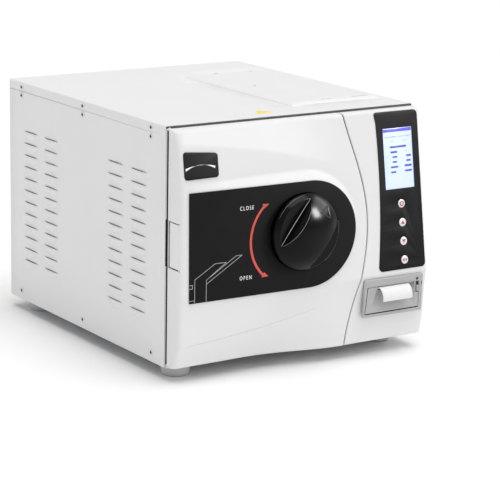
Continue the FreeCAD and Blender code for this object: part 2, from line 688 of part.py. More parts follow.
def make_knob_shaft():
    return rod("knob_shaft", "y", "shaft_radius", ("axis_x", "knob_front + 20", "axis_z"),
               "cam_back - knob_front - 20")


def make_knob():
    """A domed knob, cut down along both sides of a wide grip bar."""
    body = new_body("knob")
    sketch = sketch_on(body, "XZ_Plane")
    rise = "(knob_back - knob_front)"
    dome = ((0.97, 0.35), (0.88, 0.55), (0.74, 0.74), (0.52, 0.9), (0.26, 0.98))
    profile = [("shaft_radius", "knob_back"), ("knob_radius - 1", "knob_back"),
               ("knob_radius", f"knob_back - {rise}*0.06"), ("knob_radius", f"knob_back - {rise}*0.24")]
    profile += [(f"knob_radius*{out}", f"knob_back - {rise}*{up}") for out, up in dome]
    profile += [("0", "knob_front"), ("0", "knob_front + 20"), ("shaft_radius", "knob_front + 20")]
    polygon(sketch, profile)
    feature(body, "Revolution", sketch, "turn", ReferenceAxis=(sketch, ["V_Axis"]), Angle=360)
    step = extrude(body, "Pocket", "XY_Plane", "knob_front - 1", "knob_back - grip_step", "step")
    for side in ("-", ""):
        rectangle(step, ("-knob_radius", "knob_radius"), (f"{side}grip_half", f"{side}(knob_radius + 1)"))
    return on_axis(body, number("knob_tilt"))


# ---------------------------------------------------------------- console

def on_console(item):
    """Lay an item made flat, X across and Y upwards, on the console's leaning face."""
    item.Placement = Placement(Vector(), Rotation(Vector(1, 0, 0), 90))
    item.setExpression("Placement.Rotation.Angle", bound("90 - console_tilt"))
    return place(item, 0, "console_y", "console_z")


def console_block(name, inset, shift):
    low, high = f"door_low + {inset}", f"door_high - {inset}"
    back = "-190" if inset else "front_y - 0.3"
    lean = "tan(console_tilt)"
    profile = [(back, low), (f"front_y - 50 + {inset}", low), (f"front_y - 53 + {inset}", "76"),
               (f"console_y + {inset}", "console_z"),
               (f"console_y + {inset} + {lean}*(door_high - 6 - console_z)", "door_high - 6"),
               (f"console_y + {inset} + 4 + {lean}*(door_high - console_z)", high), (back, high)]
    body = slab(name, "YZ_Plane", "60", f"{HALF} - {inset}", profile)
    return cut_beyond_seam(body, shift, "50")


def button_places():
    return [f"button_v + button_pitch*{row}" for row in range(4)]


def make_console_moulding():
    """The fixed moulding beside the door that carries the display, buttons and printer."""
    shell = cut("console_shell", console_block("console_outside", 0, "seam_width"),
                console_block("console_inside", 2.5, "seam_width + shell"))
    holes = [box("screen_opening", ("screen_left - 1", "screen_right + 1"),
                 ("screen_low - 1", "screen_high + 1"), ("-20", "5"))]
    for height in button_places():
        holes.append(rod("button_hole", "z", "button_radius + 0.4", ("button_x", height, "-20"), "25"))
    openings = on_console(group("console_openings", holes))
    printer = box("printer_opening", ("printer_left + 2.7", "printer_right - 2.7"), ("-290", "front_y + 5"),
                  ("printer_low + 2.5", "printer_high - 3.5"))
    return cut("console_moulding", shell, openings, printer)


def make_keypad_membrane():
    body = slab("keypad_membrane", "XY_Plane", "0.1", "0.1 + pad_thick",
                corners(("pad_left", "pad_right"), ("pad_low", "pad_high")))
    round_edges(body, "7", along(Vector(0, 0, 1)))
    window = extrude(body, "Pocket", "XY_Plane", "-1", "2", "window")
    rectangle(window, ("screen_left", "screen_right"), ("screen_low", "screen_high"))
    for index, height in enumerate(button_places()):
        hole = extrude(body, "Pocket", "XY_Plane", "-1", "2", f"hole_{index}")
        circle(hole, "button_x", height, "button_radius + 0.4")
    return on_console(body)


def make_display_module():
    glass = box("display_glass", ("screen_left + 0.3", "screen_right - 0.3"),
                ("screen_low + 0.3", "screen_high - 0.3"), ("-6", "0.2"))
    board = box("display_board", ("screen_left - 3", "screen_right + 3"),
                ("screen_low - 6", "screen_high + 6"), ("-12", "-6"))
    return on_console(fuse("display_module", glass, board))


def make_button(name, height):
    cap = rod(name + "_cap", "z", "button_radius", ("button_x", height, "-5"), "6.6")
    skirt = rod(name + "_skirt", "z", "button_radius + 1.6", ("button_x", height, "-5"), "1.4")
    return on_console(fuse(name, cap, skirt))


# ---------------------------------------------------------------- printer

def make_printer_body():
    """The grey bezel and the paper bay behind it."""
    left, right, low, high = "printer_left", "printer_right", "printer_low", "printer_high"
    through = ("bezel_front - 1", "bezel_back + 1")
    bezel = box("printer_bezel", (left, right), ("bezel_front", "bezel_back"), (low, high))
    bay = box("printer_bay", (f"{left} + 3", f"{right} - 3"), ("bezel_back", "front_y - 1"),
              (f"{low} + 3", f"{high} - 4"))
    mouth = box("printer_mouth", ("hatch_left - 0.6", "hatch_right + 0.6"), through,
                ("hatch_low - 0.6", "hatch_high + 4"))
    inside = box("printer_room", (f"{left} + 5", f"{right} - 9"), ("bezel_back", "front_y - 3"),
                 (f"{low} + 5", f"{high} - 6"))
    room = box("lever_room", ("lever_left - 1", "lever_left + 5"), ("bezel_back", "bezel_back + 5"),
               ("lever_low - 3", "lever_low + 19"))
    return cut("printer_body", fuse("printer_solid", bezel, bay), mouth, inside, room)


def make_printer_hatch():
    """The hinged lid of the printer, with a notch for its catch and a roller for the paper."""
    panel = box("hatch_panel", ("hatch_left", "hatch_right"), ("bezel_front", "hatch_back"),
                ("hatch_low", "hatch_high"))
    recess = box("hatch_recess", ("hatch_left + 8", "lever_left - 5"), ("bezel_front - 1", "bezel_front + 1"),
                 ("hatch_low + 8", "hatch_high + 1"))
    notch = box("hatch_notch", ("lever_left - 0.8", "hatch_right + 1"), ("bezel_front - 1", "hatch_back + 1"),
                ("lever_low - 2", "hatch_high + 1"))
    roller = rod("hatch_roller", "x", "4", ("roll_left - 1", "hatch_back + 4.4", "hatch_high - 5"),
                 "paper_width + 2")
    arms = [box("hatch_roller_arm", (x, f"{x} + 2"), ("hatch_back - 0.5", "hatch_back + 6"),
                ("hatch_high - 8", "hatch_high - 2"))
            for x in ("roll_left - 2.5", "roll_left + paper_width + 0.5")]
    return fuse("printer_hatch", cut("hatch_shell", panel, recess, notch), roller, *arms)


def make_printer_lever():
    """The catch of the hatch: a tab at the front on a wider foot behind the bezel."""
    tab = box("lever_tab", ("lever_left", "lever_left + 3.2"), ("bezel_front - 3", "bezel_back + 3"),
              ("lever_low", "lever_low + 10"))
    foot = box("lever_foot", ("lever_left - 0.4", "lever_left + 4"), ("bezel_back + 0.4", "bezel_back + 3"),
               ("lever_low - 2", "lever_low + 12"))
    return fuse("printer_lever", tab, foot)


def make_paper_roll():
    return cut("paper_roll",
               rod("roll_paper", "x", "roll_radius", ("roll_left", "roll_y", "roll_z"), "paper_width"),
               rod("roll_core", "x", "6", ("roll_left - 1", "roll_y", "roll_z"), "paper_width + 2"))


def make_paper_strip():
    """The end of the paper, curling forwards and down over the hatch."""
    y, z = "bezel_front - 3", "hatch_high - 10.5"
    outer = rod("strip_outer", "x", "13", ("roll_left", y, z), "paper_width")
    outer.Angle = 150
    outer.Placement.Rotation = Rotation(Vector(1, 0, 0), 150).multiply(TURN["x"])
    inner = rod("strip_inner", "x", "12.5", ("roll_left - 1", y, z), "paper_width + 2")
    return cut("paper_strip", outer, inner)


# ---------------------------------------------------------------- water, steam and electrics

def make_clean_water_tank():
    return hollow_box("clean_water_tank", ("lid_left + 6", "lid_right - 6"),
                      ("lid_front + 6", "lid_rear - 6"), ("axis_z + jacket_radius + 1", f"{TOP} - 8"),
                      "2.5", top="5")


def make_used_water_tank():
    return hollow_box("used_water_tank", ("tank_left", "lid_left - 4"), ("tank_front", "lid_rear - 6"),
                      ("axis_z + jacket_radius + 1", f"{TOP} - 6"), "2.5")


def make_steam_generator():
    end = "boiler_front + boiler_length"
    shell = rod("boiler_shell", "y", "boiler_radius", ("boiler_x", "boiler_front", "boiler_z"),
                "boiler_length")
    ends = [rod("boiler_flange", "y", "boiler_radius + 5", ("boiler_x", y, "boiler_z"), "6")
            for y in ("boiler_front", f"{end} - 6")]
    legs = [box("boiler_leg", ("boiler_x - 22", "boiler_x + 22"), (y, f"{y} + 8"),
                ("foot_height + sheet", "boiler_z - 20")) for y in ("boiler_front + 20", f"{end} - 34")]
    return fuse("steam_generator", shell, *ends, *legs)


def make_vacuum_pump():
    end, reach = "pump_front + pump_length", "pump_radius"
    motor = rod("pump_motor", "y", "pump_radius", ("pump_x", "pump_front + 30", "pump_z"), "pump_length - 60")
    heads = [box("pump_end", (f"pump_x - {reach}", f"pump_x + {reach}"), (y, f"{y} + pump_head"),
                 ("pump_z - 32", "pump_z + 56")) for y in ("pump_front", f"{end} - pump_head")]
    base = box("pump_base", (f"pump_x - {reach} - 3", f"pump_x + {reach} + 3"), ("pump_front", end),
               ("foot_height + sheet", "pump_z - 30"))
    return fuse("vacuum_pump", motor, *heads, base)


def make_valve_block():
    """A manifold with a row of solenoid coils."""
    middle = "(manifold_left + manifold_right)/2"
    block = box("valve_manifold", ("manifold_left", "manifold_right"), ("manifold_front", "manifold_rear"),
                ("foot_height + sheet", "foot_height + 40"))
    coils = []
    for column in range(3):
        y = f"manifold_front + 16 + coil_pitch*{column}"
        coils.append(rod("valve_coil", "z", "coil_radius", (middle, y, "foot_height + 39"), "34"))
        coils.append(rod("valve_tip", "z", "4", (middle, y, "foot_height + 72"), "8"))
    return fuse("valve_block", block, *coils)


def make_condenser_coil():
    """Straight copper runs through thin fins, with a header at each side."""
    first = "fan_x - fin_pitch*6"
    parts = [box("condenser_fin", (f"{first} + fin_pitch*{i}", f"{first} + fin_pitch*{i} + 1"),
                 ("fin_front", "fin_front + fin_depth"), ("fan_z - 56", "fan_z + 56")) for i in range(13)]
    for row in range(-2, 3):
        start = (f"{first} - 6", "fin_front + fin_depth/2", f"fan_z + fin_pitch*{2 * row}")
        parts.append(rod("condenser_tube", "x", "4", start, "fin_pitch*12 + 12"))
    for x in (f"{first} - 12", "fan_x + fin_pitch*6 + 4"):
        parts.append(box("condenser_header", (x, f"{x} + 8"), ("fin_front + 4", "fin_front + fin_depth - 4"),
                         ("fan_z - 52", "fan_z + 52")))
    return fuse("condenser_coil", *parts)


def make_fan_frame():
    spread = ("fan_x - fan_half", "fan_x + fan_half")
    frame = box("fan_square", spread, ("fan_front", "fan_front + fan_depth"),
                ("fan_z - fan_half", "fan_z + fan_half"))
    tunnel = rod("fan_tunnel", "y", "fan_radius + 2", ("fan_x", "fan_front - 4", "fan_z"), "fan_depth + 7")
    ring = cut("fan_shroud", frame, tunnel)
    depth = ("fan_front", "fan_front + 2")
    spokes = [box("fan_spoke", ("fan_x - fan_radius - 4", "fan_x + fan_radius + 4"), depth,
                  ("fan_z - 2", "fan_z + 2")),
              box("fan_spoke", ("fan_x - 2", "fan_x + 2"), depth,
                  ("fan_z - fan_radius - 4", "fan_z + fan_radius + 4"))]
    stator = rod("fan_stator", "y", "15", ("fan_x", "fan_front", "fan_z"), "4")
    return fuse("fan_frame", ring, *spokes, stator)


def make_fan_rotor():
    """A hub with leaning blades, in its own frame with Z along the fan's axis."""
    body = new_body("fan_rotor")
    hub = extrude(body, "Pad", "XY_Plane", "fan_front + 5", "fan_front + 23", "hub")
    circle(hub, 0, 0, "fan_radius*0.34")
    blade = extrude(body, "Pad", "XY_Plane", "fan_front + 8", "fan_front + 20", "blade")
    polygon(blade, [("fan_radius*0.3", "-2"), ("fan_radius*0.96", "-10"), ("fan_radius*0.98", "-7.6"),
                    ("fan_radius*0.3", "0.6")])
    doc.recompute()
    polar(body, body.Tip, 7)
    body.Placement = Placement(Vector(), TURN["y"])
    return place(body, "fan_x", 0, "fan_z")


def make_power_inlet():
    """The mains inlet and the frame of the switch above it."""
    flange = box("inlet_flange", ("inlet_x - 17", "inlet_x + 17"), (REAR, f"{REAR} + 3"),
                 ("inlet_z - 14", "switch_z + 18"))
    bay = box("inlet_bay", ("inlet_x - 13", "inlet_x + 13"), (f"{REAR} - 24", REAR),
              ("inlet_z - 9.5", "switch_z + 13.7"))
    socket = box("inlet_socket", ("inlet_x - 11", "inlet_x + 11"), (f"{REAR} - 15", f"{REAR} + 4"),
                 ("inlet_z - 7.5", "inlet_z + 8.5"))
    pins = [box("inlet_pin", (f"inlet_x + {x}", f"inlet_x + {x + 2}"), (f"{REAR} - 16", f"{REAR} - 2"),
                (f"inlet_z + {z}", f"inlet_z + {z + 4}")) for x, z in ((-8, -4), (6, -4), (-1, 2))]
    well = box("switch_well", ("inlet_x - 10", "inlet_x + 10"), (f"{REAR} - 18", f"{REAR} + 4"),
               ("switch_z - 13.2", "switch_z + 13.2"))
    return fuse("power_inlet", cut("inlet_housing", fuse("inlet_solid", flange, bay), socket, well), *pins)


def make_power_switch():
    """A rocker that turns about its middle, resting with its upper half pressed in."""
    body = new_body("power_switch")
    outline = extrude(body, "Pad", "YZ_Plane", "-9.6", "9.6", "pad")
    polygon(outline, [("-9", "-8.5"), ("6.5", "-10.5"), ("4.2", "0"), ("6.5", "10.5"), ("-9", "8.5")])
    body.Placement = Placement(Vector(), Rotation(Vector(1, 0, 0), 8))
    return place(body, "inlet_x", f"{REAR} - 1", "switch_z")


def make_safety_valve():
    body = [rod("valve_stub", "y", "6", ("valve_x", f"{REAR} - 27", "valve_z"), "20"),
            rod("valve_body", "y", "9", ("valve_x", f"{REAR} - 14", "valve_z"), "20")]
    hexagon = doc.addObject("Part::Prism", "valve_hexagon")
    hexagon.Polygon = 6
    hexagon.Circumradius = 12
    hexagon.Height = 4
    hexagon.Placement = Placement(Vector(), TURN["y"])
    place(hexagon, "valve_x", f"{REAR} + 0.5", "valve_z")
    guide = rod("valve_guide", "y", "2.05", ("valve_x", f"{REAR} - 6", "valve_z"), "20")
    return cut("safety_valve", fuse("valve_solid", *body, hexagon), guide)


def make_valve_ring():
    stem = rod("ring_stem", "y", "2", ("valve_x", "rear_end - 26", "valve_z"), "13")
    ring = doc.addObject("Part::Torus", "ring_loop")
    ring.Radius1 = 5.5
    ring.Radius2 = 1.5
    ring.Placement = Placement(Vector(), TURN["x"])
    place(ring, "valve_x", "rear_end - 7", "valve_z")
    return fuse("safety_valve_ring", stem, ring)


def make_drain_spigots():
    spigots = []
    for x in ("drain_a", "drain_b"):
        solid = fuse("spigot_solid",
                     rod("spigot_tail", "y", "6", (x, f"{REAR} - 20", "drain_z"), "38"),
                     rod("spigot_collar", "y", "10", (x, f"{REAR} + 0.1", "drain_z"), "4"),
                     rod("spigot_barb", "y", "7.5", (x, f"{REAR} + 12", "drain_z"), "5"))
        bore = rod("spigot_bore", "y", "3.5", (x, f"{REAR} - 22", "drain_z"), "50")
        spigots.append(cut("spigot", solid, bore))
    return group("drain_spigots", spigots)


def make_main_board():
    """A board on edge beside the side sheet; each part on it is (along, up, size, rise)."""
    parts = [box("board", ("board_x", "board_x + 1.6"), ("board_front", "board_rear"),
                 ("board_low", "board_high"))]
    for along_y, up, size, rise in ((20, 20, 34, 30), (70, 20, 40, 22), (130, 15, 50, 34), (20, 85, 26, 14),
                                    (70, 90, 44, 8), (140, 100, 60, 16), (180, 30, 24, 24)):
        start = f"board_front + {along_y}"
        parts.append(box("board_part", (f"board_x - {rise}", "board_x + 0.4"),
                         (start, f"{start} + {size}*0.9"), (f"board_low + {up}", f"board_low + {up + size}")))
    return fuse("main_board", *parts)


# ---------------------------------------------------------------- build, check and write

keep(make_base_pan())
keep(make_front_panel())
keep(make_rear_panel())
keep(make_side_panel("side_panel_left", -1))
keep(make_side_panel("side_panel_right", 1))
keep(make_top_cover())
keep(make_tank_lid())
keep(make_feet())
keep(make_casing_screws())
keep(make_lock_ring())
keep(make_chamber_vessel())
keep(make_chamber_gasket())
keep(make_heater_band())
keep(make_insulation_jacket())
keep(make_chamber_supports())
keep(make_tray_rack())
keep(make_trays())
keep(make_door_outer_cover())
keep(make_door_inner_cover())
keep(make_knob_plate())
keep(make_badge_plate())
keep(make_hinge_bracket())
keep(make_hinge_pin())
keep(make_hinge_arm())
keep(make_hinge_cover())
keep(make_pressure_plate())
keep(make_shaft_bush())
keep(make_bolt_guides())
for index, angle in enumerate(BOLT_ANGLES, start=1):
    keep(make_lock_bolt(index, angle))
keep(make_cam_plate())
keep(make_knob_shaft())
keep(make_knob())
keep(make_console_moulding())
keep(make_keypad_membrane())
keep(make_display_module())
for button, where in zip(("button_select", "button_down", "button_up", "button_start"), button_places()):
    keep(make_button(button, where))
keep(make_printer_body())
keep(make_printer_hatch())
keep(make_printer_lever())
keep(make_paper_roll())
keep(make_paper_strip())
keep(make_clean_water_tank())
keep(make_used_water_tank())
keep(make_steam_generator())
keep(make_vacuum_pump())
keep(make_valve_block())
keep(make_condenser_coil())
keep(make_fan_frame())
keep(make_fan_rotor())
keep(make_power_inlet())
keep(make_power_switch())
keep(make_safety_valve())
keep(make_valve_ring())
keep(make_drain_spigots())
keep(make_main_board())

doc.recompute()
failed = [item.Name for item in doc.Objects if {"Invalid", "Error"} & set(item.State)]
failed += [item.Label for item in nodes if item.Shape.isNull() or not item.Shape.isValid()]
if failed:
    raise RuntimeError("these did not build: " + ", ".join(failed))

os.makedirs("parts", exist_ok=True)
for item in nodes:
    item.Shape.exportStep(f"parts/{item.Label}.step")
    bounds = item.Shape.BoundBox
    print(f"{item.Label:22s} solids {len(item.Shape.Solids)}  volume {item.Shape.Volume:12.0f}  "
          f"x {bounds.XMin:.1f} {bounds.XMax:.1f}  y {bounds.YMin:.1f} {bounds.YMax:.1f}  "
          f"z {bounds.ZMin:.1f} {bounds.ZMax:.1f}")
print(len(nodes), "sub-parts")
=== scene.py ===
import math

import bmesh
import bpy
from mathutils import Matrix, Vector


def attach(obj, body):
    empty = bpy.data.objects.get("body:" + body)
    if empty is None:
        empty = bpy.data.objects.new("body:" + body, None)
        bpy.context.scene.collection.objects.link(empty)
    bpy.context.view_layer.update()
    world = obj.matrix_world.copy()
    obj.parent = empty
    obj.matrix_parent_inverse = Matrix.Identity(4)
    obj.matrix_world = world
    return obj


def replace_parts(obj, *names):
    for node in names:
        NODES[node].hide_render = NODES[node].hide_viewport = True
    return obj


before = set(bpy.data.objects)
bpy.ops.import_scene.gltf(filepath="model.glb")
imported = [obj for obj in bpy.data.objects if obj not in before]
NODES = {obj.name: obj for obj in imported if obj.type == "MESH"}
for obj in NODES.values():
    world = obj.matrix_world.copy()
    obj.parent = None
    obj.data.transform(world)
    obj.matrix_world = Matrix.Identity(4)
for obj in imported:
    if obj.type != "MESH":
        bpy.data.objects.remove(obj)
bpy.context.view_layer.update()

MM = 0.001


# ---------------------------------------------------------------- materials

def new_material(name):
    """A material with its shader, its object coordinates and a helper that adds nodes."""
    material = bpy.data.materials.new(name)
    material.use_nodes = True
    tree = material.node_tree
    shader = tree.nodes["Principled BSDF"]
    place = tree.nodes.new("ShaderNodeTexCoord").outputs["Object"]

    def add(kind, inputs=None, **settings):
        node = tree.nodes.new("ShaderNode" + kind)
        for key, value in settings.items():
            setattr(node, key, value)
        for key, value in (inputs or {}).items():
            if isinstance(value, bpy.types.NodeSocket):
                tree.links.new(value, node.inputs[key])
            else:
                node.inputs[key].default_value = value
        return node

    return material, tree, shader, place, add


def ramp(add, value, low, high, to_low=0.0, to_high=1.0):
    node = add("MapRange", {"Value": value, "From Min": low, "From Max": high,
                            "To Min": to_low, "To Max": to_high})
    return node.outputs["Result"]


def blend_colour(add, factor, one, two):
    node = add("Mix", data_type="RGBA")
    sockets = [s for s in node.inputs if s.type == "RGBA"]
    for socket, value in ((node.inputs[0], factor), (sockets[0], one), (sockets[1], two)):
        if isinstance(value, bpy.types.NodeSocket):
            node.id_data.links.new(value, socket)
        else:
            socket.default_value = value
    return next(s for s in node.outputs if s.type == "RGBA")


def rgba(colour, share=1.0):
    return (*(min(1.0, c * share) for c in colour), 1)


def finish_of(name, colour, rough=0.4, metal=0.0, grain=600, bump=0.02, spread=0.04, stretch=(1, 1, 1),
              rough_spread=0.06, wear=0.0, wear_colour=None, dirt=0.0, specular=0.5,
              transmission=0.0, glow=0.0, patch=9):
    """A procedural finish: a patchy tint, fine grain in the relief, smears in the gloss, painted
    shade in the corners and wear along the edges. patch and grain are the scales of the noise."""
    material, tree, shader, place, add = new_material(name)
    patches = add("TexNoise", {"Vector": place, "Scale": patch, "Detail": 4}).outputs["Fac"]
    mapped = add("Mapping", {"Vector": place, "Scale": stretch}).outputs["Vector"]
    fine = add("TexNoise", {"Vector": mapped, "Scale": grain, "Detail": 3}).outputs["Fac"]
    both = add("Math", {0: patches, 1: fine}, operation="ADD").outputs["Value"]
    tint = ramp(add, both, 0.7, 1.3)
    base = blend_colour(add, tint, rgba(colour, 1 - spread), rgba(colour, 1 + spread))
    if wear:
        bevel = add("Bevel", {"Radius": 0.0008}, samples=4).outputs["Normal"]
        flat = add("NewGeometry").outputs["Normal"]
        turn = add("VectorMath", {0: bevel, 1: flat}, operation="DOT_PRODUCT").outputs["Value"]
        edge = ramp(add, turn, 0.995, 0.9)
        rub = ramp(add, patches, 0.45, 0.6)
        mask = add("Math", {0: edge, 1: rub}, operation="MULTIPLY").outputs["Value"]
        mask = add("Math", {0: mask, 1: wear}, operation="MULTIPLY").outputs["Value"]
        base = blend_colour(add, mask, base, rgba(wear_colour))
    # Painted shade: where an occlusion test finds the surface hidden, in corners and creases, the colour
    # darkens to a shaded copy of itself.
    if dirt:
        corner = add("AmbientOcclusion", {"Distance": 0.006}, samples=4).outputs["AO"]
        shade = ramp(add, corner, 0.2, 0.8, dirt, 0.0)
        base = blend_colour(add, shade, base, rgba(colour, 0.35))
    tree.links.new(base, shader.inputs["Base Color"])
    smear = add("TexNoise", {"Vector": place, "Scale": patch * 5, "Detail": 5}).outputs["Fac"]
    gloss = ramp(add, smear, 0.3, 0.7, max(0.02, rough - rough_spread), min(1.0, rough + rough_spread))
    tree.links.new(gloss, shader.inputs["Roughness"])
    relief = add("Bump", {"Height": fine, "Strength": 1.0, "Distance": bump * MM})
    tree.links.new(relief.outputs["Normal"], shader.inputs["Normal"])
    shader.inputs["Metallic"].default_value = metal
    shader.inputs["Specular IOR Level"].default_value = specular
    shader.inputs["Transmission Weight"].default_value = transmission
    if glow:
        tree.links.new(base, shader.inputs["Emission Color"])
        shader.inputs["Emission Strength"].default_value = glow
    return material


def ink(name, colour, rough=0.45, **more):
    """A printed or painted finish."""
    return finish_of(name, colour, rough, grain=900, bump=0.006, **more)


def lit(name, colour, rough, spread, glow, patch):
    """A finish of the display, which gives off a little light."""
    return finish_of(name, colour, rough, grain=1500, bump=0.001, spread=spread, glow=glow, patch=patch)


def metal(name, colour, rough, grain, bump, spread, **more):
    return finish_of(name, colour, rough, metal=1, grain=grain, bump=bump, spread=spread, **more)


NEAR_BLACK = (0.009, 0.009, 0.0095)
FINISH = {
    "casing_white": finish_of("powder_coat", (0.80, 0.80, 0.80), 0.45, grain=900, bump=0.03,
                              spread=0.012, dirt=0.12),
    "zinc_sheet": metal("zinc_sheet", (0.62, 0.63, 0.65), 0.38, 140, 0.01, 0.06, rough_spread=0.04),
    "stainless": metal("brushed_stainless", (0.66, 0.66, 0.65), 0.27, 420, 0.012, 0.03,
                       stretch=(1, 0.06, 1), rough_spread=0.02, patch=3),
    "screw_steel": metal("screw_steel", (0.50, 0.50, 0.50), 0.32, 900, 0.01, 0.1, dirt=0.6),
    "door_white": finish_of("door_plastic", (0.81, 0.81, 0.81), 0.5, grain=1300, bump=0.012,
                            spread=0.008, dirt=0.12, specular=0.06),
    "inner_white": finish_of("inner_plastic", (0.74, 0.74, 0.73), 0.5, grain=700, bump=0.03,
                             spread=0.03, dirt=0.3),
    "plate_black": finish_of("plate_black", NEAR_BLACK, 0.5, grain=1600, bump=0.008, spread=0.12,
                             specular=0.07, wear=0.2, wear_colour=(0.03, 0.03, 0.03)),
    "knob_black": finish_of("knob_black", (0.002, 0.002, 0.0022), 0.21, grain=1500, bump=0.002,
                            spread=0.15, rough_spread=0.02, specular=0.14),
    "foot_grey": finish_of("foot_rubber", (0.50, 0.51, 0.52), 0.6, grain=700, bump=0.05,
                           spread=0.06, dirt=0.5),
    "seal_silicone": finish_of("seal_silicone", (0.62, 0.42, 0.32), 0.45, grain=500, bump=0.03,
                               spread=0.05),
    "hinge_white": finish_of("hinge_cover", (0.80, 0.80, 0.795), 0.36, grain=1100, bump=0.015,
                             spread=0.015, dirt=0.3),
    "machined_steel": metal("machined_steel", (0.56, 0.57, 0.58), 0.26, 300, 0.01, 0.04,
                            stretch=(1, 1, 0.1), rough_spread=0.03, patch=3),
    "bronze": metal("bronze", (0.58, 0.36, 0.17), 0.34, 400, 0.02, 0.1),
    "brass_fitting": metal("brass_fitting", (0.72, 0.52, 0.22), 0.3, 500, 0.015, 0.1),
    "copper": metal("copper", (0.70, 0.35, 0.21), 0.32, 260, 0.01, 0.14),
    "insulation": finish_of("insulation_felt", (0.56, 0.53, 0.46), 0.9, grain=320, bump=0.35,
                            spread=0.16),
    "heater": finish_of("heater_mica", (0.42, 0.34, 0.26), 0.5, grain=240, bump=0.05, spread=0.16),
    "membrane_black": finish_of("membrane_black", NEAR_BLACK, 0.42, grain=1400, bump=0.006,
                                spread=0.1, specular=0.07),
    "screen_glass": finish_of("screen_glass", (0.02, 0.02, 0.03), 0.08, grain=800, bump=0.002,
                              spread=0.1, rough_spread=0.02),
    "button_white": finish_of("button_white", (0.78, 0.77, 0.76), 0.3, grain=1200, bump=0.008,
                              spread=0.02, dirt=0.3),
    "printer_grey": finish_of("printer_grey", (0.45, 0.45, 0.45), 0.42, grain=1000, bump=0.02,
                              spread=0.03, dirt=0.5, specular=0.15),
    "paper": finish_of("paper", (0.78, 0.78, 0.78), 0.8, grain=500, bump=0.02, spread=0.02),
    "tank_plastic": finish_of("tank_plastic", (0.70, 0.74, 0.76), 0.35, grain=200, bump=0.04,
                              spread=0.05, transmission=0.25),
    "pump_grey": finish_of("pump_grey", (0.20, 0.21, 0.22), 0.45, grain=300, bump=0.08, spread=0.15),
    "coil_black": finish_of("coil_black", (0.02, 0.02, 0.02), 0.4, grain=260, bump=0.05, spread=0.3),
    "fan_black": finish_of("fan_black", (0.014, 0.014, 0.015), 0.45, grain=700, bump=0.03, spread=0.2),
    "board_green": finish_of("board_green", (0.03, 0.20, 0.09), 0.32, grain=180, bump=0.04,
                             spread=0.25),
    "switch_black": finish_of("switch_black", (0.014, 0.014, 0.014), 0.35, grain=900, bump=0.02,
                              spread=0.2),
}
red = ink("legend_red", (0.72, 0.055, 0.035), spread=0.05)
# White print that also gives off a little light: a painted glow that brightens the letters and the badge bar.
glowing_legend = ink("legend_white_painted_glow", (0.92, 0.92, 0.92), 0.5, spread=0.03, glow=0.12)
icon_red = ink("icon_red", (0.46, 0.02, 0.03), spread=0.08)
# Silver print for the lines on the plate; the same finish on the knob's thin beads is a painted highlight.
silver = ink("print_and_highlight_silver", (0.42, 0.43, 0.45), spread=0.05)
yellow = ink("sticker_yellow", (0.90, 0.72, 0.05), spread=0.04)
# A black without gloss that stands for shadow: painted shadow on the knob's side wall, in the door seam and
# in the printer's bottom gap.
painted_shadow = finish_of("painted_shadow_black", (0.001, 0.001, 0.001), 0.9, grain=900, bump=0.01, spread=0.3,
                  specular=0.0)
# A grey a little darker than the door: painted shade along the lower crease.
crease = finish_of("painted_crease_shade", (0.60, 0.60, 0.60), 0.6, grain=900, bump=0.01, spread=0.05)
# Near black: painted shade in the gaps, the slit, the lever's groove and the screw recesses, and the real
# dark colour of the printer's roller and lamp.
dark = finish_of("recess_dark", (0.012, 0.012, 0.012), 0.7, grain=500, bump=0.02, spread=0.2)
# Grey for painted shade behind the louvre slits and in the lid's grip slots, and for painted highlights along
# the knob's edges.
grey = finish_of("painted_shade_and_highlight_grey", (0.3, 0.3, 0.3), 0.6, grain=500, bump=0.02, spread=0.1)
silver_paint = finish_of("painted_steel", (0.74, 0.74, 0.74), 0.4, metal=0.3, grain=800, bump=0.02,
                         spread=0.06)
lcd = lit("lcd_pale", (0.53, 0.62, 0.98), 0.25, 0.02, 0.5, 20)
lcd_bar = lit("lcd_header", (0.10, 0.10, 0.62), 0.25, 0.12, 0.5, 60)
lcd_mark = lit("lcd_marks", (0.04, 0.045, 0.42), 0.3, 0.15, 0.25, 60)
lcd_faint = lit("lcd_faint", (0.36, 0.42, 0.72), 0.3, 0.1, 0.4, 60)

for item in NODES.values():
    for holder in item.material_slots:
        holder.material = FINISH[holder.material.name.split(".")[0]]


# ---------------------------------------------------------------- stage, lights and camera

def linked(name, data):
    """A new object in the scene."""
    item = bpy.data.objects.new(name, data)
    bpy.context.scene.collection.objects.link(item)
    return item


def stage_floor():
    mesh = bpy.data.meshes.new("floor")
    size = 30
    corners = [(-size, -size, 0), (size, -size, 0), (size, size, 0), (-size, size, 0)]
    mesh.from_pydata(corners, [], [(0, 1, 2, 3)])
    floor = linked("floor", mesh)
    mesh.materials.append(finish_of("floor_white", (0.93, 0.93, 0.93), 0.75, grain=60, bump=0.0,
                                    spread=0.0, patch=1))


LIT_POINT = Vector((0, -0.28, 0.22))


def area_light(name, place, size, power):
    """A soft box, aimed at the door, that shows in glossy surfaces only."""
    lamp = bpy.data.lights.new(name, "AREA")
    lamp.shape = "RECTANGLE"
    lamp.size, lamp.size_y = size
    lamp.energy = power
    item = linked(name, lamp)
    item.visible_diffuse = False
    item.location = place
    item.rotation_euler = (LIT_POINT - Vector(place)).to_track_quat("-Z", "Y").to_euler()


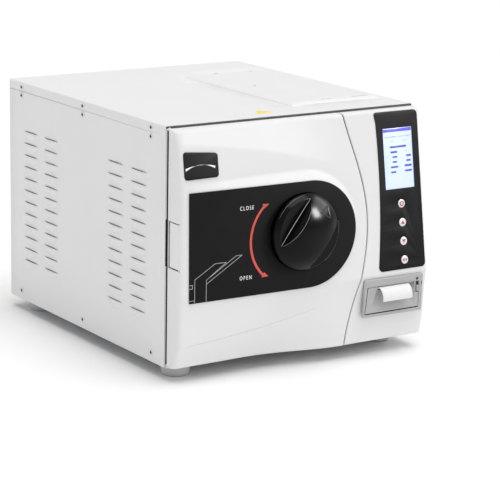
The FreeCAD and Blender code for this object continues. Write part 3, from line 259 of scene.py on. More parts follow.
def make_camera(place, azimuth, elevation, roll, lens):
    """Azimuth 0 looks along +Y, and grows towards +X; the angles are in degrees."""
    azimuth, elevation, roll = (math.radians(a) for a in (azimuth, elevation, roll))
    level = math.cos(elevation)
    ahead = Vector((math.sin(azimuth) * level, math.cos(azimuth) * level, -math.sin(elevation)))
    right = Vector((math.cos(azimuth), -math.sin(azimuth), 0))
    up = right.cross(ahead)
    right, up = (right * math.cos(roll) + up * math.sin(roll),
                 up * math.cos(roll) - right * math.sin(roll))
    camera = linked("camera", bpy.data.cameras.new("camera"))
    camera.data.lens, camera.data.sensor_width = lens, 36
    camera.data.clip_end = 100
    matrix = Matrix((right, up, -ahead)).transposed().to_4x4()
    matrix.translation = place
    camera.matrix_world = matrix
    bpy.context.scene.camera = camera


stage_floor()
make_camera((-1.7415, -2.7019, 0.9095), 33.789, 13.643, 1.144, 148.4)
area_light("knob_box", (0.93, -1.39, 0.99), (0.42, 0.58), 54)
area_light("side_box", (1.5, -0.72, 1.2), (1.3, 1.0), 24)
sun = bpy.data.lights.new("overhead", "SUN")
sun.energy, sun.angle = 1.76, math.radians(50)
overhead = linked("overhead", sun)
overhead.rotation_euler = (math.radians(12), math.radians(4), 0)
world = bpy.data.worlds.new("studio")
world.use_nodes = True
background = world.node_tree.nodes["Background"]
background.inputs["Color"].default_value = (1, 1, 1, 1)
background.inputs["Strength"].default_value = 0.585
bpy.context.scene.world = world
bpy.context.scene.view_settings.view_transform = "Standard"


# ---------------------------------------------------------------- helpers for pieces

def piece(name, verts, faces, body, slot, material=None, smooth=40):
    """A mesh piece from corners in millimetres."""
    mesh = bpy.data.meshes.new(name)
    mesh.from_pydata([tuple(c * MM for c in v) for v in verts], [], faces)
    mesh.validate()
    return dress(linked(name, mesh), body, slot, material, smooth)


def dress(item, body, slot, material=None, smooth=40):
    item.data.materials.clear()
    item.data.materials.append(material or FINISH[slot])
    if item.type == "MESH":
        rounded(item.data, smooth)
    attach(item, body)
    return item


def rounded(mesh, degrees):
    """Smooth shading with the edges over an angle kept sharp."""
    work = bmesh.new()
    work.from_mesh(mesh)
    bmesh.ops.recalc_face_normals(work, faces=work.faces)
    limit = math.radians(degrees)
    for face in work.faces:
        face.smooth = True
    for edge in work.edges:
        edge.smooth = not (len(edge.link_faces) == 2 and edge.calc_face_angle(0) > limit)
    work.to_mesh(mesh)
    work.free()


def baked(item):
    """Turns an object with its modifiers, or a curve, into a plain mesh object."""
    dg = bpy.context.evaluated_depsgraph_get()
    dg.update()
    mesh = bpy.data.meshes.new_from_object(item.evaluated_get(dg))
    made = linked(item.name + "_mesh", mesh)
    made.matrix_world = item.matrix_world
    name = item.name
    bpy.data.objects.remove(item)
    made.name = name
    return made


def modify(item, kind, **settings):
    modifier = item.modifiers.new(kind.lower(), kind)
    for key, value in settings.items():
        setattr(modifier, key, value)
    return modifier


def round_edges(item, width, limit=None, segments=2):
    """Rounds the edges, or only those that turn by more than the limit in degrees."""
    if limit is None:
        return modify(item, "BEVEL", width=width * MM, segments=segments)
    return modify(item, "BEVEL", width=width * MM, segments=segments, limit_method="ANGLE",
                  angle_limit=math.radians(limit))


def thicken(item, thick):
    """Gives a sheet its thickness, behind its face."""
    modify(item, "SOLIDIFY", thickness=thick * MM, offset=-1)


def outline_plate(name, loops, thick, bevel, matrix, body, slot, material=None, resolution=3,
                  smooth=35):
    """A flat plate with rounded rims from closed outlines; the loops after the first are holes."""
    curve = bpy.data.curves.new(name, "CURVE")
    curve.dimensions, curve.fill_mode = "2D", "BOTH"
    curve.extrude = max(0.0, thick / 2 - bevel) * MM
    curve.bevel_depth, curve.bevel_resolution = bevel * MM, resolution
    curve.offset = -bevel * MM
    for loop in loops:
        spline = curve.splines.new("POLY")
        spline.points.add(len(loop) - 1)
        for point, (x, y) in zip(spline.points, loop):
            point.co = (x * MM, y * MM, 0, 1)
        spline.use_cyclic_u = True
    item = linked(name, curve)
    item.matrix_world = matrix
    bpy.context.view_layer.update()
    item = baked(item)
    item.data.transform(matrix)
    item.matrix_world = Matrix.Identity(4)
    weld(item.data)
    return dress(item, body, slot, material, smooth)


WELD = 0.00001


def weld(mesh):
    work = bmesh.new()
    work.from_mesh(mesh)
    bmesh.ops.remove_doubles(work, verts=work.verts, dist=WELD)
    work.to_mesh(mesh)
    work.free()


def arc(x, y, radius, start, end, steps=12):
    turns = [math.radians(start + (end - start) * i / steps) for i in range(steps + 1)]
    return [(x + radius * math.cos(a), y + radius * math.sin(a)) for a in turns]


def circle(x, y, radius, steps=64):
    return arc(x, y, radius, 0, 360, steps)[:-1]


def round_rectangle(low, high, radii, steps=8):
    """Corner radii go anticlockwise from the lower left."""
    a, b, c, d = radii if hasattr(radii, "__len__") else (radii,) * 4
    return (arc(low[0] + a, low[1] + a, a, 180, 270, steps)
            + arc(high[0] - b, low[1] + b, b, 270, 360, steps)
            + arc(high[0] - c, high[1] - c, c, 0, 90, steps)
            + arc(low[0] + d, high[1] - d, d, 90, 180, steps))


def at(x, y, z):
    """A move by millimetres."""
    return Matrix.Translation(Vector((x, y, z)) * MM)


def turned(degrees, axis):
    return Matrix.Rotation(math.radians(degrees), 4, axis)


def facing(x, y, z):
    """Flat outlines stand up: across is X, up is Z, and their front looks along -Y."""
    return at(x, y, z) @ turned(90, "X")


def grid_faces(rows, cols, keep=None):
    """Four-sided faces over a grid of corners, stored row by row."""
    return [(i * cols + j, i * cols + j + 1, (i + 1) * cols + j + 1, (i + 1) * cols + j)
            for i in range(rows - 1) for j in range(cols - 1) if keep is None or keep(i, j)]


def grid_rim(rows, cols):
    """The corners round the outside of such a grid."""
    grid = [list(range(i * cols, (i + 1) * cols)) for i in range(rows)]
    return (grid[0] + [row[-1] for row in grid[1:]] + grid[-1][-2::-1]
            + [row[0] for row in grid[-2:0:-1]])


def blocks(boxes):
    """Corners and faces of boxes, each given as its two places on X, Y and Z."""
    verts, faces = [], []
    for x, y, z in boxes:
        first = len(verts)
        verts += [(a, b, c) for a in x for b in y for c in z]
        faces += [tuple(first + k for k in quad)
                  for quad in ((0, 1, 3, 2), (4, 5, 7, 6), (0, 1, 5, 4), (2, 3, 7, 6),
                               (0, 2, 6, 4), (1, 3, 7, 5))]
    return verts, faces


def lerp(a, b, t):
    return a + (b - a) * t


def clamp(t):
    return max(0.0, min(1.0, t))


def ease(t):
    t = clamp(t)
    return t * t * (3 - 2 * t)


def softplus(value, soft):
    """max(0, value) with a rounded corner."""
    if value > 8 * soft:
        return value
    return soft * math.log1p(math.exp(value / soft))


def through(points, x):
    """The height at x of a line through points."""
    if x <= points[0][0]:
        return points[0][1]
    for (x0, y0), (x1, y1) in zip(points, points[1:]):
        if x <= x1:
            return lerp(y0, y1, (x - x0) / (x1 - x0))
    return points[-1][1]


# ---------------------------------------------------------------- the shape of the front

FRONT, HALF, LOW, HIGH, BACK = -208, 222.4, 23, 378, -209.8
SEAM_MID, SEAM_SWING, SEAM_Z, SEAM_WAVE, SEAM_WIDE = 91, 21, 224, 212, 2
DOOR_Z, AXIS_X, AXIS_Z = 208, -15, 215
PLATE_LEFT, PLATE_X, PLATE_R, PLATE_THICK = -210.5, 0, 82, 2
CONSOLE_Y, CONSOLE_Z, TILT = -265.4, 129, math.radians(8.8)
STRIP_LOW, STRIP_HIGH, HINGE_X, HINGE_Y = 174.4, 244.6, -214, -219
BUTTON_X, BUTTON_V, BUTTON_STEP, BUTTON_R, BUTTONS = 178.4, 19.3, 29.1, 6.2, 4
OVAL_RIM = 12.5


def seam(z, extra=0.0):
    return SEAM_MID + SEAM_SWING * math.cos(math.pi * (z - SEAM_Z) / SEAM_WAVE) + extra


def plate_front(x):
    """The oval plate stands a little further forward at its round end."""
    return lerp(-256, -264, (x - PLATE_LEFT) / (PLATE_X + PLATE_R - PLATE_LEFT))


def console_depth(z):
    """How far the console stands in front of the casing."""
    if z >= CONSOLE_Z:
        return FRONT - CONSOLE_Y - math.tan(TILT) * (z - CONSOLE_Z)
    return through([(20, 49), (60, 51.8), (76, 52.8), (102, 54), (116, 55.8), (CONSOLE_Z, 57.4)], z)


def left_depth(z):
    return 45 - 0.15 * softplus(z - 304, 4) - 0.03 * softplus(150 - z, 6)


def oval_distance(x, z):
    """How far a point lies outside the outline of the oval plate."""
    if x > PLATE_X:
        return max(0.0, math.hypot(x - PLATE_X, z - DOOR_Z) - PLATE_R)
    return math.hypot(max(0.0, PLATE_LEFT - x), max(0.0, abs(z - DOOR_Z) - PLATE_R))


UPPER = [(-225, 361), (-158, 353), (-80, 340), (-21, 327.5), (56, 308), (100, 295)]
LOWER = [(-225, 58.5), (-151, 65.5), (-81, 74), (-11, 86), (60, 100)]


def door_depth(x, z):
    """How far the door stands in front of the casing: a face that twists from the hinge side to
    the console, tilted back beyond two creases, with a raised oval."""
    t = clamp((x + HALF) / (seam(z) + HALF))
    depth = lerp(left_depth(z), console_depth(z), t)
    depth -= 0.27 * (1 - ease((x + 60) / 150)) * softplus(z - through(UPPER, x), 0.45)
    depth -= 0.40 * (1 - ease((x + 100) / 160)) * softplus(through(LOWER, x) - z, 0.4)
    far = oval_distance(x, z)
    if far < OVAL_RIM:
        lift = 1 - far / OVAL_RIM
        lift = lerp(lift, ease(lift), 0.25)
        depth = lerp(depth, FRONT - plate_front(x) - PLATE_THICK, lift)
    return depth


def door_face(x, z):
    return FRONT - door_depth(x, z)


def edge_drop(distance, radius):
    """How far a rounded edge falls back at this distance inside it."""
    if distance >= radius:
        return 0.0
    return radius - math.sqrt(radius * radius - (radius - distance) ** 2)


def spread(low, high, ends, step):
    """Places from low to high, close together at both ends."""
    inner = max(2, round((high - low - 2 * ends[-1]) / step))
    return ([low + e for e in ends]
            + [lerp(low + ends[-1], high - ends[-1], i / inner) for i in range(1, inner)]
            + [high - e for e in reversed(ends)])


def add_rings(verts, faces, rim, places, keep=lambda *middle: True):
    """Joins the rim of a front to rings behind it; each place moves a rim corner to its ring."""
    before = rim
    for place in places:
        ring = list(range(len(verts), len(verts) + len(rim)))
        verts += [place(*verts[index]) for index in rim]
        for i in range(len(rim)):
            k = (i + 1) % len(rim)
            quad = (before[i], before[k], ring[k], ring[i])
            if keep(*(sum(verts[n][axis] for n in quad) / 4 for axis in (0, 1, 2))):
                faces.append(quad)
        before = ring


def panel_mesh(name, columns, heights, front, walls, body, keep, keep_wall=lambda *middle: True):
    """A moulded panel: a grid of front points, its four side walls and a wall thickness.
    columns(z) gives the places across, front(x, z) the depth, and walls the rings behind."""
    verts = [(x, front(x, z), z) for z in heights for x in columns(z)]
    rows, cols = len(heights), len(verts) // len(heights)
    faces = [quad for quad in grid_faces(rows, cols)
             if keep(*(sum(verts[k][axis] for k in quad) / 4 for axis in (0, 2)))]
    add_rings(verts, faces, grid_rim(rows, cols), walls, keep_wall)
    item = piece(name, verts, faces, body, "door_white", smooth=38)
    modify(item, "SOLIDIFY", thickness=2.4 * MM, offset=-1, use_even_offset=False)
    return item


def in_door(x, z):
    """Leaves out the hole for the knob shaft."""
    return math.hypot(x - AXIS_X, z - AXIS_Z) > 20


def in_door_wall(x, y, z):
    """Leaves out the gap for the hinge cover."""
    return not (x < -HALF + 1 and STRIP_LOW < z < STRIP_HIGH and y > -250)


ENDS = (0, 0.35, 0.9, 1.7, 2.8, 4.2, 6, 8.5, 12)
STRAIGHT, PIN_REACH = 0.6, 8.4


def door_heights():
    places = spread(LOW, HIGH, ENDS, 2.2)
    return sorted(set(p for p in places if min(abs(p - STRIP_LOW), abs(p - STRIP_HIGH)) > 0.8)
                  | {STRIP_LOW, STRIP_HIGH})


def door_front(x, z):
    y = door_face(x, z)
    corner = 6.6 + 4 * ease((z - 345) / 30) + 2 * ease((62 - z) / 30)
    y += edge_drop(x + HALF, corner)
    y += edge_drop(HIGH - z, 4.5)
    y += edge_drop(z - LOW, 4)
    y += edge_drop(seam(z) - x, 1.2)
    return y


def make_door_cover():
    counts = round((seam(AXIS_Z) + HALF - 24) / 2.3)

    def even(z):
        right = seam(z)
        low, high = -HALF + ENDS[-1], right - ENDS[-1]
        return ([-HALF + e for e in ENDS]
                + [lerp(low, high, i / counts) for i in range(1, counts)]
                + [right - e for e in reversed(ENDS)])

    def wall(share):
        """A ring that goes straight back, and on the hinge side turns round the pin."""
        def place(x, y, z):
            if x >= -HALF + 1:
                return x, lerp(y, BACK, share), z
            if share < STRAIGHT:
                return x, lerp(y, HINGE_Y, share / STRAIGHT), z
            turn = math.radians(90 * (share - STRAIGHT) / 0.4)
            return HINGE_X - PIN_REACH * math.cos(turn), HINGE_Y + PIN_REACH * math.sin(turn), z
        return place

    walls = [wall(s) for s in (0.3, 0.6, 0.7, 0.8, 0.9, 1.0)]
    item = panel_mesh("door_cover", even, door_heights(), door_front, walls, "door", in_door,
                      in_door_wall)
    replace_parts(item, "door_outer_cover")


def in_console(x, z):
    """Leaves out the openings for the display, the buttons and the printer."""
    rise = (z - CONSOLE_Z) / math.cos(TILT)
    if 150 < x < 206 and 130 < rise < 224:
        return False
    if any(math.hypot(x - BUTTON_X, rise - (BUTTON_V + BUTTON_STEP * n)) < BUTTON_R + 2
           for n in range(BUTTONS)):
        return False
    return not (106.5 < x < 207 and 68 < z < 120)


def make_console_shell():
    counts = 54
    seam_ends = ENDS[:6]

    def columns(z):
        left = seam(z, SEAM_WIDE)
        low, high = left + seam_ends[-1], HALF - ENDS[-1]
        return ([left + e for e in seam_ends]
                + [lerp(low, high, i / counts) for i in range(1, counts)]
                + [HALF - e for e in reversed(ENDS)])

    def front(x, z):
        y = FRONT - console_depth(z)
        corner = 4.5 + 5 * ease((55 - z) / 30)
        y += edge_drop(HALF - x, corner)
        y += edge_drop(HIGH - z, 3.2)
        y += edge_drop(z - LOW, 5)
        y += edge_drop(x - seam(z, SEAM_WIDE), 1.2)
        return y

    def wall(share):
        return lambda x, y, z: (x, lerp(y, FRONT - 0.3, share), z)

    item = panel_mesh("console_shell", columns, spread(LOW, HIGH, ENDS, 2.2), front,
                      [wall(0.5), wall(1.0)], "casing", in_console)
    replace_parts(item, "console_moulding")


def settle(item, surface):
    """Moves each corner of a flat piece forward or back, so that it lies on a surface."""
    for vertex in item.data.vertices:
        vertex.co.y += surface(vertex.co.x / MM, vertex.co.z / MM) * MM
    item.data.update()
    return item


def make_oval_plate():
    low, high = DOOR_Z - PLATE_R, DOOR_Z + PLATE_R
    outline = (arc(PLATE_X, DOOR_Z, PLATE_R, -90, 90, 64) + arc(PLATE_LEFT + 1, high - 1, 1, 90, 180, 6)
               + arc(PLATE_LEFT + 3, low + 1, 1, 180, 270, 6))
    hole = circle(AXIS_X, AXIS_Z, 13)
    plate = outline_plate("oval_plate", [outline, hole], PLATE_THICK, 0.45,
                          facing(0, PLATE_THICK / 2, 0), "door", "plate_black", smooth=12)
    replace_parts(settle(plate, oval_face), "knob_plate")


def oval_face(x, z):
    return plate_front(x)


def on_plate(name, loop, material):
    """A printed shape on the oval plate."""
    settle(outline_plate(name, [loop], 0.14, 0.03, facing(0, -0.04, 0), "door", "plate_black",
                         material, 1), oval_face)


def thick_line(points, wide):
    """The outline of a line of one width, with mitred corners."""
    left, right = [], []
    for i, (x, y) in enumerate(points):
        before = points[max(0, i - 1)]
        after = points[min(len(points) - 1, i + 1)]
        one = Vector((x - before[0], y - before[1]))
        two = Vector((after[0] - x, after[1] - y))
        one = (one if one.length > 0 else two).normalized()
        two = (two if two.length > 0 else one).normalized()
        middle = (one + two).normalized()
        side = Vector((-middle.y, middle.x)) * (wide / 2 / max(0.3, middle.dot(one)))
        left.append((x + side.x, y + side.y))
        right.append((x - side.x, y - side.y))
    return left + right[::-1]


def make_turn_arc():
    x, z, radius, half, start, end = -34, 207.3, 71.5, 1.9, 134, 226
    on_plate("turn_arc", arc(x, z, radius - half, start, end, 40)
             + arc(x, z, radius + half, end, start, 40), red)
    on_plate("turn_arrow_close", [(-75, 262.5), (-87, 262.9), (-82.6, 256)], red)
    on_plate("turn_arrow_open", [(-73.6, 152.4), (-81.2, 159.4), (-86.4, 152.2)], red)


def word(name, text, x, z, height, wide):
    curve = bpy.data.curves.new(name, "FONT")
    curve.body, curve.size, curve.extrude = text, 10 * MM, 0.07 * MM
    curve.space_character, curve.resolution_u = 1.5, 4
    item = linked(name, curve)
    bpy.context.view_layer.update()
    item = baked(item)
    across = [v.co.x for v in item.data.vertices]
    up = [v.co.y for v in item.data.vertices]
    low, base = min(across), min(up)
    item.data.transform(Matrix.Translation((-low, -base, 0)))
    item.data.transform(Matrix.Diagonal((wide * MM / (max(across) - low),
                                         height * MM / (max(up) - base), 1, 1)))
    item.data.transform(facing(x, -0.04, z))
    weld(item.data)
    settle(item, oval_face)
    # The letters glow a little: painted glow.
    dress(item, "door", "plate_black", glowing_legend, 30)


def make_lines():
    runs = {"line_outer": [(-200, 127), (-200, 161.7), (-166, 182), (-147, 182)],
            "line_middle": [(-147, 182), (-180.5, 159), (-180.5, 153.5)],
            "line_upper": [(-180.5, 159), (-130, 190), (-120, 190)],
            "line_inner": [(-120, 190), (-180.5, 153), (-180.5, 127)],
            "line_foot": [(-209.5, 130.5), (-200, 130.5)],
            "line_square": [(-209.5, 148.5), (-204, 148.5), (-204, 154), (-209.5, 154)]}
    for name, points in runs.items():
        on_plate(name, thick_line(points, 0.75), silver)


def make_badge():
    outline = [(x + 0.7, z - 0.1 * (x + 217.5) * (z - 309) / 40.5)
               for x, z in round_rectangle((-217.5, 309), (-158, 349.5), 5)]
    plate = outline_plate("badge", [outline], 2.0, 0.5,
                          facing(0, -0.6, 0), "door", "plate_black")
    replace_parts(settle(plate, door_face), "badge_plate")
    bar = arc(-189, 229, 100, 75, 105, 24) + arc(-189, 280.6, 48.7, 121.5, 58.5, 24)
    # The bar glows a little: painted glow.
    settle(outline_plate("badge_bar", [bar], 0.14, 0.03, facing(0, -1.65, 0), "door", "plate_black",
                         glowing_legend, 1), door_face)


def make_crease():
    """A thin darker line along the lower crease: painted shade in the crease."""
    points = [(x, through(LOWER, x)) for x in (lerp(-205, 15, k / 70) for k in range(71))]
    settle(outline_plate("crease_shade_line", [thick_line(points, 0.55)], 0.12, 0.03,
                         facing(0, -0.03, 0), "door", "door_white", crease, 1), door_face)


def make_seam_shadow():
    """A narrow dark strip just behind the front of the gap between the door and the console:
    painted shadow in the seam.
    """
    verts, faces, steps = [], [], 90
    for z in (lerp(LOW + 3, HIGH - 2, k / steps) for k in range(steps + 1)):
        front = FRONT - console_depth(z) + 2.4
        for share in (0.35, SEAM_WIDE):
            for y in (front, front + 4):
                verts.append((seam(z, share), y, z))
    for k in range(steps):
        a = 4 * k
        faces += [(a, a + 4, a + 6, a + 2), (a + 1, a + 3, a + 7, a + 5), (a, a + 1, a + 5, a + 4),
                  (a + 2, a + 6, a + 7, a + 3)]
    last = 4 * steps
    faces += [(0, 2, 3, 1), (last, last + 1, last + 3, last + 2)]
    seam_shade = piece("seam_gap_shadow", verts, faces, "casing", "fan_black", painted_shadow, 40)
    modify(seam_shade, "BEVEL", width=0.15 * MM, segments=2, limit_method="ANGLE")


def about_hinge(inner, outer, start, end):
    """A band round the hinge pin, between two angles."""
    return arc(HINGE_X, HINGE_Y, outer, start, end, 10) + arc(HINGE_X, HINGE_Y, inner, end, start, 10)


def upright(name, sections, body):
    """A piece from flat sections that run along Z, between the ends of the hinge cover."""
    verts, faces = [], []
    for section in sections:
        count, first = len(section), len(verts)
        for z in (STRIP_LOW + 2.1, STRIP_HIGH - 1.5):
            verts += [(x, y, z) for x, y in section]
        for i in range(count):
            n = (i + 1) % count
            faces.append((first + i, first + n, first + count + n, first + count + i))
        faces += [tuple(range(first, first + count)), tuple(range(first + count, first + 2 * count))]
    item = piece(name, verts, faces, body, "hinge_white", smooth=35)
    round_edges(item, 0.15, 50)
    return item


def make_hinge_strip():
    """The cover over the hinge: one part on the door, and a fixed one that the door turns round."""
    strip = [(-222.4, -222.4), (-222.4, -246), (-222.2, -248.8), (-221.6, -249.3),
             (-219.8, -249.3), (-219.8, -232),
             (-221.9, -226), (-221.9, -222.4)]
    moving = upright("hinge_strip", [strip, about_hinge(5.8, 7, 202, 262)], "door")
    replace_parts(moving, "hinge_cover")
    upright("hinge_guard", [about_hinge(7.3, 8.35, 104, 167)], "casing")


# ---------------------------------------------------------------- knob

KNOB_R, KNOB_BACK, KNOB_RIM, KNOB_FRONT = 58.5, -263.4, -272, -300
GRIP_TURN = math.radians(53)
CUT_AT, CUT_LONG, CUT_SLOPE, FLOOR = 31.7, 41.5, 3.1, 7.3


def knob_dome(rho):
    """The height of the uncut dome, at a share of the radius."""
    return (KNOB_RIM - KNOB_FRONT) * max(0.0, 1 - rho ** 2.3) ** 0.78


def knob_height(x, y):
    """How far the knob stands in front of its rim: a dome, cut down on both sides to a floor.
    x runs along the grip and y across it, in millimetres from the axis."""
    rho = min(1.0, math.hypot(x, y) / KNOB_R)
    dome = knob_dome(rho)
    floor = FLOOR - 0.1 + 1.4 * rho ** 4
    wall = FLOOR + (CUT_AT - abs(y)) * CUT_SLOPE
    return dome - softplus(dome - max(floor, wall), 0.5 if y < 0 else 0.15)


def knob_place(across, up):
    """The point on the knob's front at a place given along X and Z from its axis."""
    x = across * math.cos(GRIP_TURN) + up * math.sin(GRIP_TURN)
    y = -across * math.sin(GRIP_TURN) + up * math.cos(GRIP_TURN)
    return AXIS_X + across, KNOB_RIM - knob_height(x, y), AXIS_Z + up


def make_knob():
    count = 220
    places = [math.sin(math.pi / 2 * (2 * i / count - 1)) * 0.5 + (2 * i / count - 1) * 0.5
              for i in range(count + 1)]
    verts = [knob_place(*along_grip(KNOB_R * u * math.sqrt(1 - v * v / 2),
                                    KNOB_R * v * math.sqrt(1 - u * u / 2)))
             for v in places for u in places]
    faces = grid_faces(count + 1, count + 1)

    def ring(share, depth):
        def place(x, _, z):
            reach = KNOB_R * share / math.hypot(x - AXIS_X, z - AXIS_Z)
            return AXIS_X + (x - AXIS_X) * reach, depth, AXIS_Z + (z - AXIS_Z) * reach
        return place

    inset = KNOB_BACK - 2.5
    sides = ((1.006, KNOB_RIM + 0.5), (1.008, KNOB_RIM + 1.5), (1.0, KNOB_BACK - 0.8),
             (0.985, KNOB_BACK), (0.93, KNOB_BACK), (0.91, inset), (0.3, inset), (0.3, KNOB_BACK),
             (0.139, KNOB_BACK))
    add_rings(verts, faces, grid_rim(count + 1, count + 1), [ring(*side) for side in sides])
    knob = piece("turn_knob", verts, faces, "knob", "knob_black", smooth=24)
    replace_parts(knob, "knob")


def make_knob_mark():
    """A small raised triangle on the dome, near the end of the grip."""
    loop = thick_line([(27.2, 39.9), (27.5, 23), (10.3, 32.8), (26.9, 40)], 1.5)
    steps = []
    for (x0, z0), (x1, z1) in zip(loop, loop[1:] + loop[:1]):
        steps += [(lerp(x0, x1, k / 6), lerp(z0, z1, k / 6)) for k in range(6)]
    verts, faces = [], []
    for lift in (1.0, -0.7):
        for x, z in steps:
            px, py, pz = knob_place(x, z)
            verts.append((px, py + lift, pz))
    n = len(steps)
    faces = [tuple(range(n)), tuple(range(n, 2 * n))]
    faces += [(i, (i + 1) % n, n + (i + 1) % n, n + i) for i in range(n)]
    piece("knob_mark", verts, faces, "knob", "knob_black", smooth=30)
    # A lighter bead along the triangle's right edge: a painted highlight.
    edge = [(lerp(27.3, 27.9, k / 12), lerp(39.6, 23.4, k / 12)) for k in range(13)]
    knob_highlight_bead("knob_mark_highlight", edge, 0.55, silver)


def along_grip(x, y):
    """A place given along and across the grip, as X and Z from the knob's axis."""
    return (x * math.cos(GRIP_TURN) - y * math.sin(GRIP_TURN),
            x * math.sin(GRIP_TURN) + y * math.cos(GRIP_TURN))


def knob_highlight_bead(name, places, radius, material):
    """A thin rounded bead in a lighter finish that lies on the knob's front:
    a painted highlight along an edge.
    """
    curve = bpy.data.curves.new(name, "CURVE")
    curve.dimensions, curve.bevel_depth, curve.bevel_resolution = "3D", radius * MM, 2
    spline = curve.splines.new("POLY")
    spline.points.add(len(places) - 1)
    for k, (point, (across, up)) in enumerate(zip(spline.points, places)):
        x, y, z = knob_place(across, up)
        point.co = (x * MM, (y - 0.1) * MM, z * MM, 1)
        point.radius = 0.35 + 0.65 * math.sin(math.pi * k / (len(places) - 1)) ** 0.5
    item = linked(name, curve)
    bpy.context.view_layer.update()
    dress(baked(item), "knob", "knob_black", material, 60)


def crest(x):
    """Where the cut meets the dome: how far across the grip, at a place along it."""
    low, high = 15.0, CUT_AT
    for _ in range(30):
        y = (low + high) / 2
        dome = knob_dome(min(1.0, math.hypot(x, y) / KNOB_R))
        low, high = (low, y) if FLOOR + (CUT_AT - y) * CUT_SLOPE < dome else (y, high)
    return y


def make_knob_highlights():
    """Thin lighter beads along the knob's edges, which are painted highlights, and the side wall
    behind the rim in painted shadow.
    """
    for side, name in ((1, "upper"), (-1, "lower")):
        foot = [along_grip(lerp(-CUT_LONG, CUT_LONG, k / 40), side * (CUT_AT + 0.3))
                for k in range(41)]
        knob_highlight_bead(f"knob_foot_edge_{name}", foot, 0.6, silver)
    top = [along_grip(x, crest(x))
           for x in (lerp(-CUT_LONG + 1, CUT_LONG - 6, k / 40) for k in range(41))]
    knob_highlight_bead("knob_crest_highlight", top, 0.28, grey)
    knob_highlight_bead("knob_rim_highlight", arc(0, 0, KNOB_R * 0.985, 96, 152, 40), 0.2, grey)
    knob_highlight_bead("knob_side_highlight", arc(0, 0, KNOB_R * 0.985, -55, 12, 40), 0.25, grey)
    # The knob's side wall behind the rim, in the black without gloss: painted shadow.
    lathe("knob_skirt", [(57.5, 1.4), (59, 1.6), (59.2, 2.2), (59.2, 8), (58.9, 8.5), (57.5, 8.5)],
          facing(AXIS_X, -262, AXIS_Z), "knob", "knob_black", painted_shadow, 128)


# ---------------------------------------------------------------- console

def on_console(w=0.0):
    """Flat outlines lie on the leaning face, w in front of it."""
    return (at(0, CONSOLE_Y, CONSOLE_Z) @ Matrix.Rotation(math.radians(90) - TILT, 4, "X")
            @ lay(w))


def lay(z):
    """Flat outlines lie flat, X across and Y towards the back, at this height."""
    return Matrix.Translation((0, 0, z * MM))


def make_keypad():
    """The black membrane: its left edge runs beside the seam."""
    left, widest = [], 295
    for i in range(25):
        v = lerp(12, 233, i / 24)
        z = CONSOLE_Z + v * math.cos(TILT)
        bend = 9 * ((widest - z) / 145) ** 2 if z < widest else 1.2 * ((z - widest) / 55) ** 2
        left.append((139.2 - bend, v))
    corner = [(140.4, 249.7), (137.6, 249.4), (136, 248.4), (135.1, 246.8), (135.2, 245),
              (136.6, 238)]
    left = corner + left[::-1]
    low = round_rectangle((left[-1][0], 5), (217.9, 249.4), (7, 7, 8, 7), 8)
    outline = left + low[:27]
    holes = [[(150.4, 130), (206, 130), (206, 223.6), (150.4, 223.6)]]
    holes += [circle(BUTTON_X, BUTTON_V + BUTTON_STEP * n, BUTTON_R + 0.4, 48)
              for n in range(BUTTONS)]
    pad = outline_plate("keypad", [outline, *holes], 0.9, 0.3, on_console(0.5), "casing",
                        "membrane_black", smooth=12)
    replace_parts(pad, "keypad_membrane")


def make_display():
    """The lit panel on its board, with bars in place of its lines of text."""
    def stroke(name, x, y, wide, tall, material):
        loop = round_rectangle((x, y - 0.15 * tall), (x + wide, y + 1.15 * tall),
                               min(wide, tall) * 0.2, 3)
        outline_plate(name, [loop], 0.12, 0.02, on_console(0.02), "casing", "screen_glass",
                      material, 1)

    screen = outline_plate("display_panel",
                           [round_rectangle((150.7, 130.3), (205.7, 223.3), 0.6, 4)], 5, 0.2,
                           on_console(-2.55), "casing", "screen_glass", lcd)
    outline_plate("display_board", [round_rectangle((147.4, 124), (209, 229.6), 2, 4)], 6, 0.3,
                  on_console(-9), "casing", "board_green")
    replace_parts(screen, "display_module")
    stroke("display_header", 151.2, 218.2, 54, 4, lcd_bar)
    faint = [(154, 209.5, 22, 1.6), (180, 209.5, 22, 1.6), (166, 203, 4, 1.2), (186, 203, 9, 1.2)]
    lines = [(163, 193.4, 31, 2.4, lcd_mark), (163.5, 185.4, 13, 2.4, lcd_mark),
             (193, 186, 1.6, 2.4, lcd_faint), (167, 178, 9, 2.2, lcd_mark),
             (193.5, 178.6, 9, 2.4, lcd_mark), (167, 170.4, 8, 2.2, lcd_mark),
             (193.5, 171, 8, 2.4, lcd_mark), (163, 162.6, 13.5, 2.2, lcd_mark),
             (189.5, 163.2, 13.5, 2.6, lcd_mark), (163, 154.8, 9.5, 2.2, lcd_mark),
             (190, 155.4, 13, 2.4, lcd_mark)]
    dots = [(155.5, y, 1.2, 1.2) for y in (178.2, 170.4, 162.6, 154.8)] + [(177, 162.8, 4, 1.2)]
    marks = [(*m, lcd_faint) for m in faint] + lines + [(*m, lcd_faint) for m in dots]
    for index, mark in enumerate(marks):
        stroke(f"display_mark_{index:02d}", *mark)


def lathe(name, profile, matrix, body, slot, material=None, steps=64, smooth=35):
    """A turned piece: the profile is radius and height, from one end round to the other."""
    turns = [2 * math.pi * i / steps for i in range(steps)]
    verts = [(radius * math.cos(a), radius * math.sin(a), height)
             for radius, height in profile for a in turns]
    faces = []
    for k in range(len(profile) - 1):
        low, high = k * steps, (k + 1) * steps
        for i in range(steps):
            n = (i + 1) % steps
            faces.append((low + i, low + n, high + n, high + i))
    mesh = bpy.data.meshes.new(name)
    mesh.from_pydata([tuple(c * MM for c in v) for v in verts], [], faces)
    item = linked(name, mesh)
    mesh.transform(matrix)
    weld(mesh)
    return dress(item, body, slot, material, smooth)


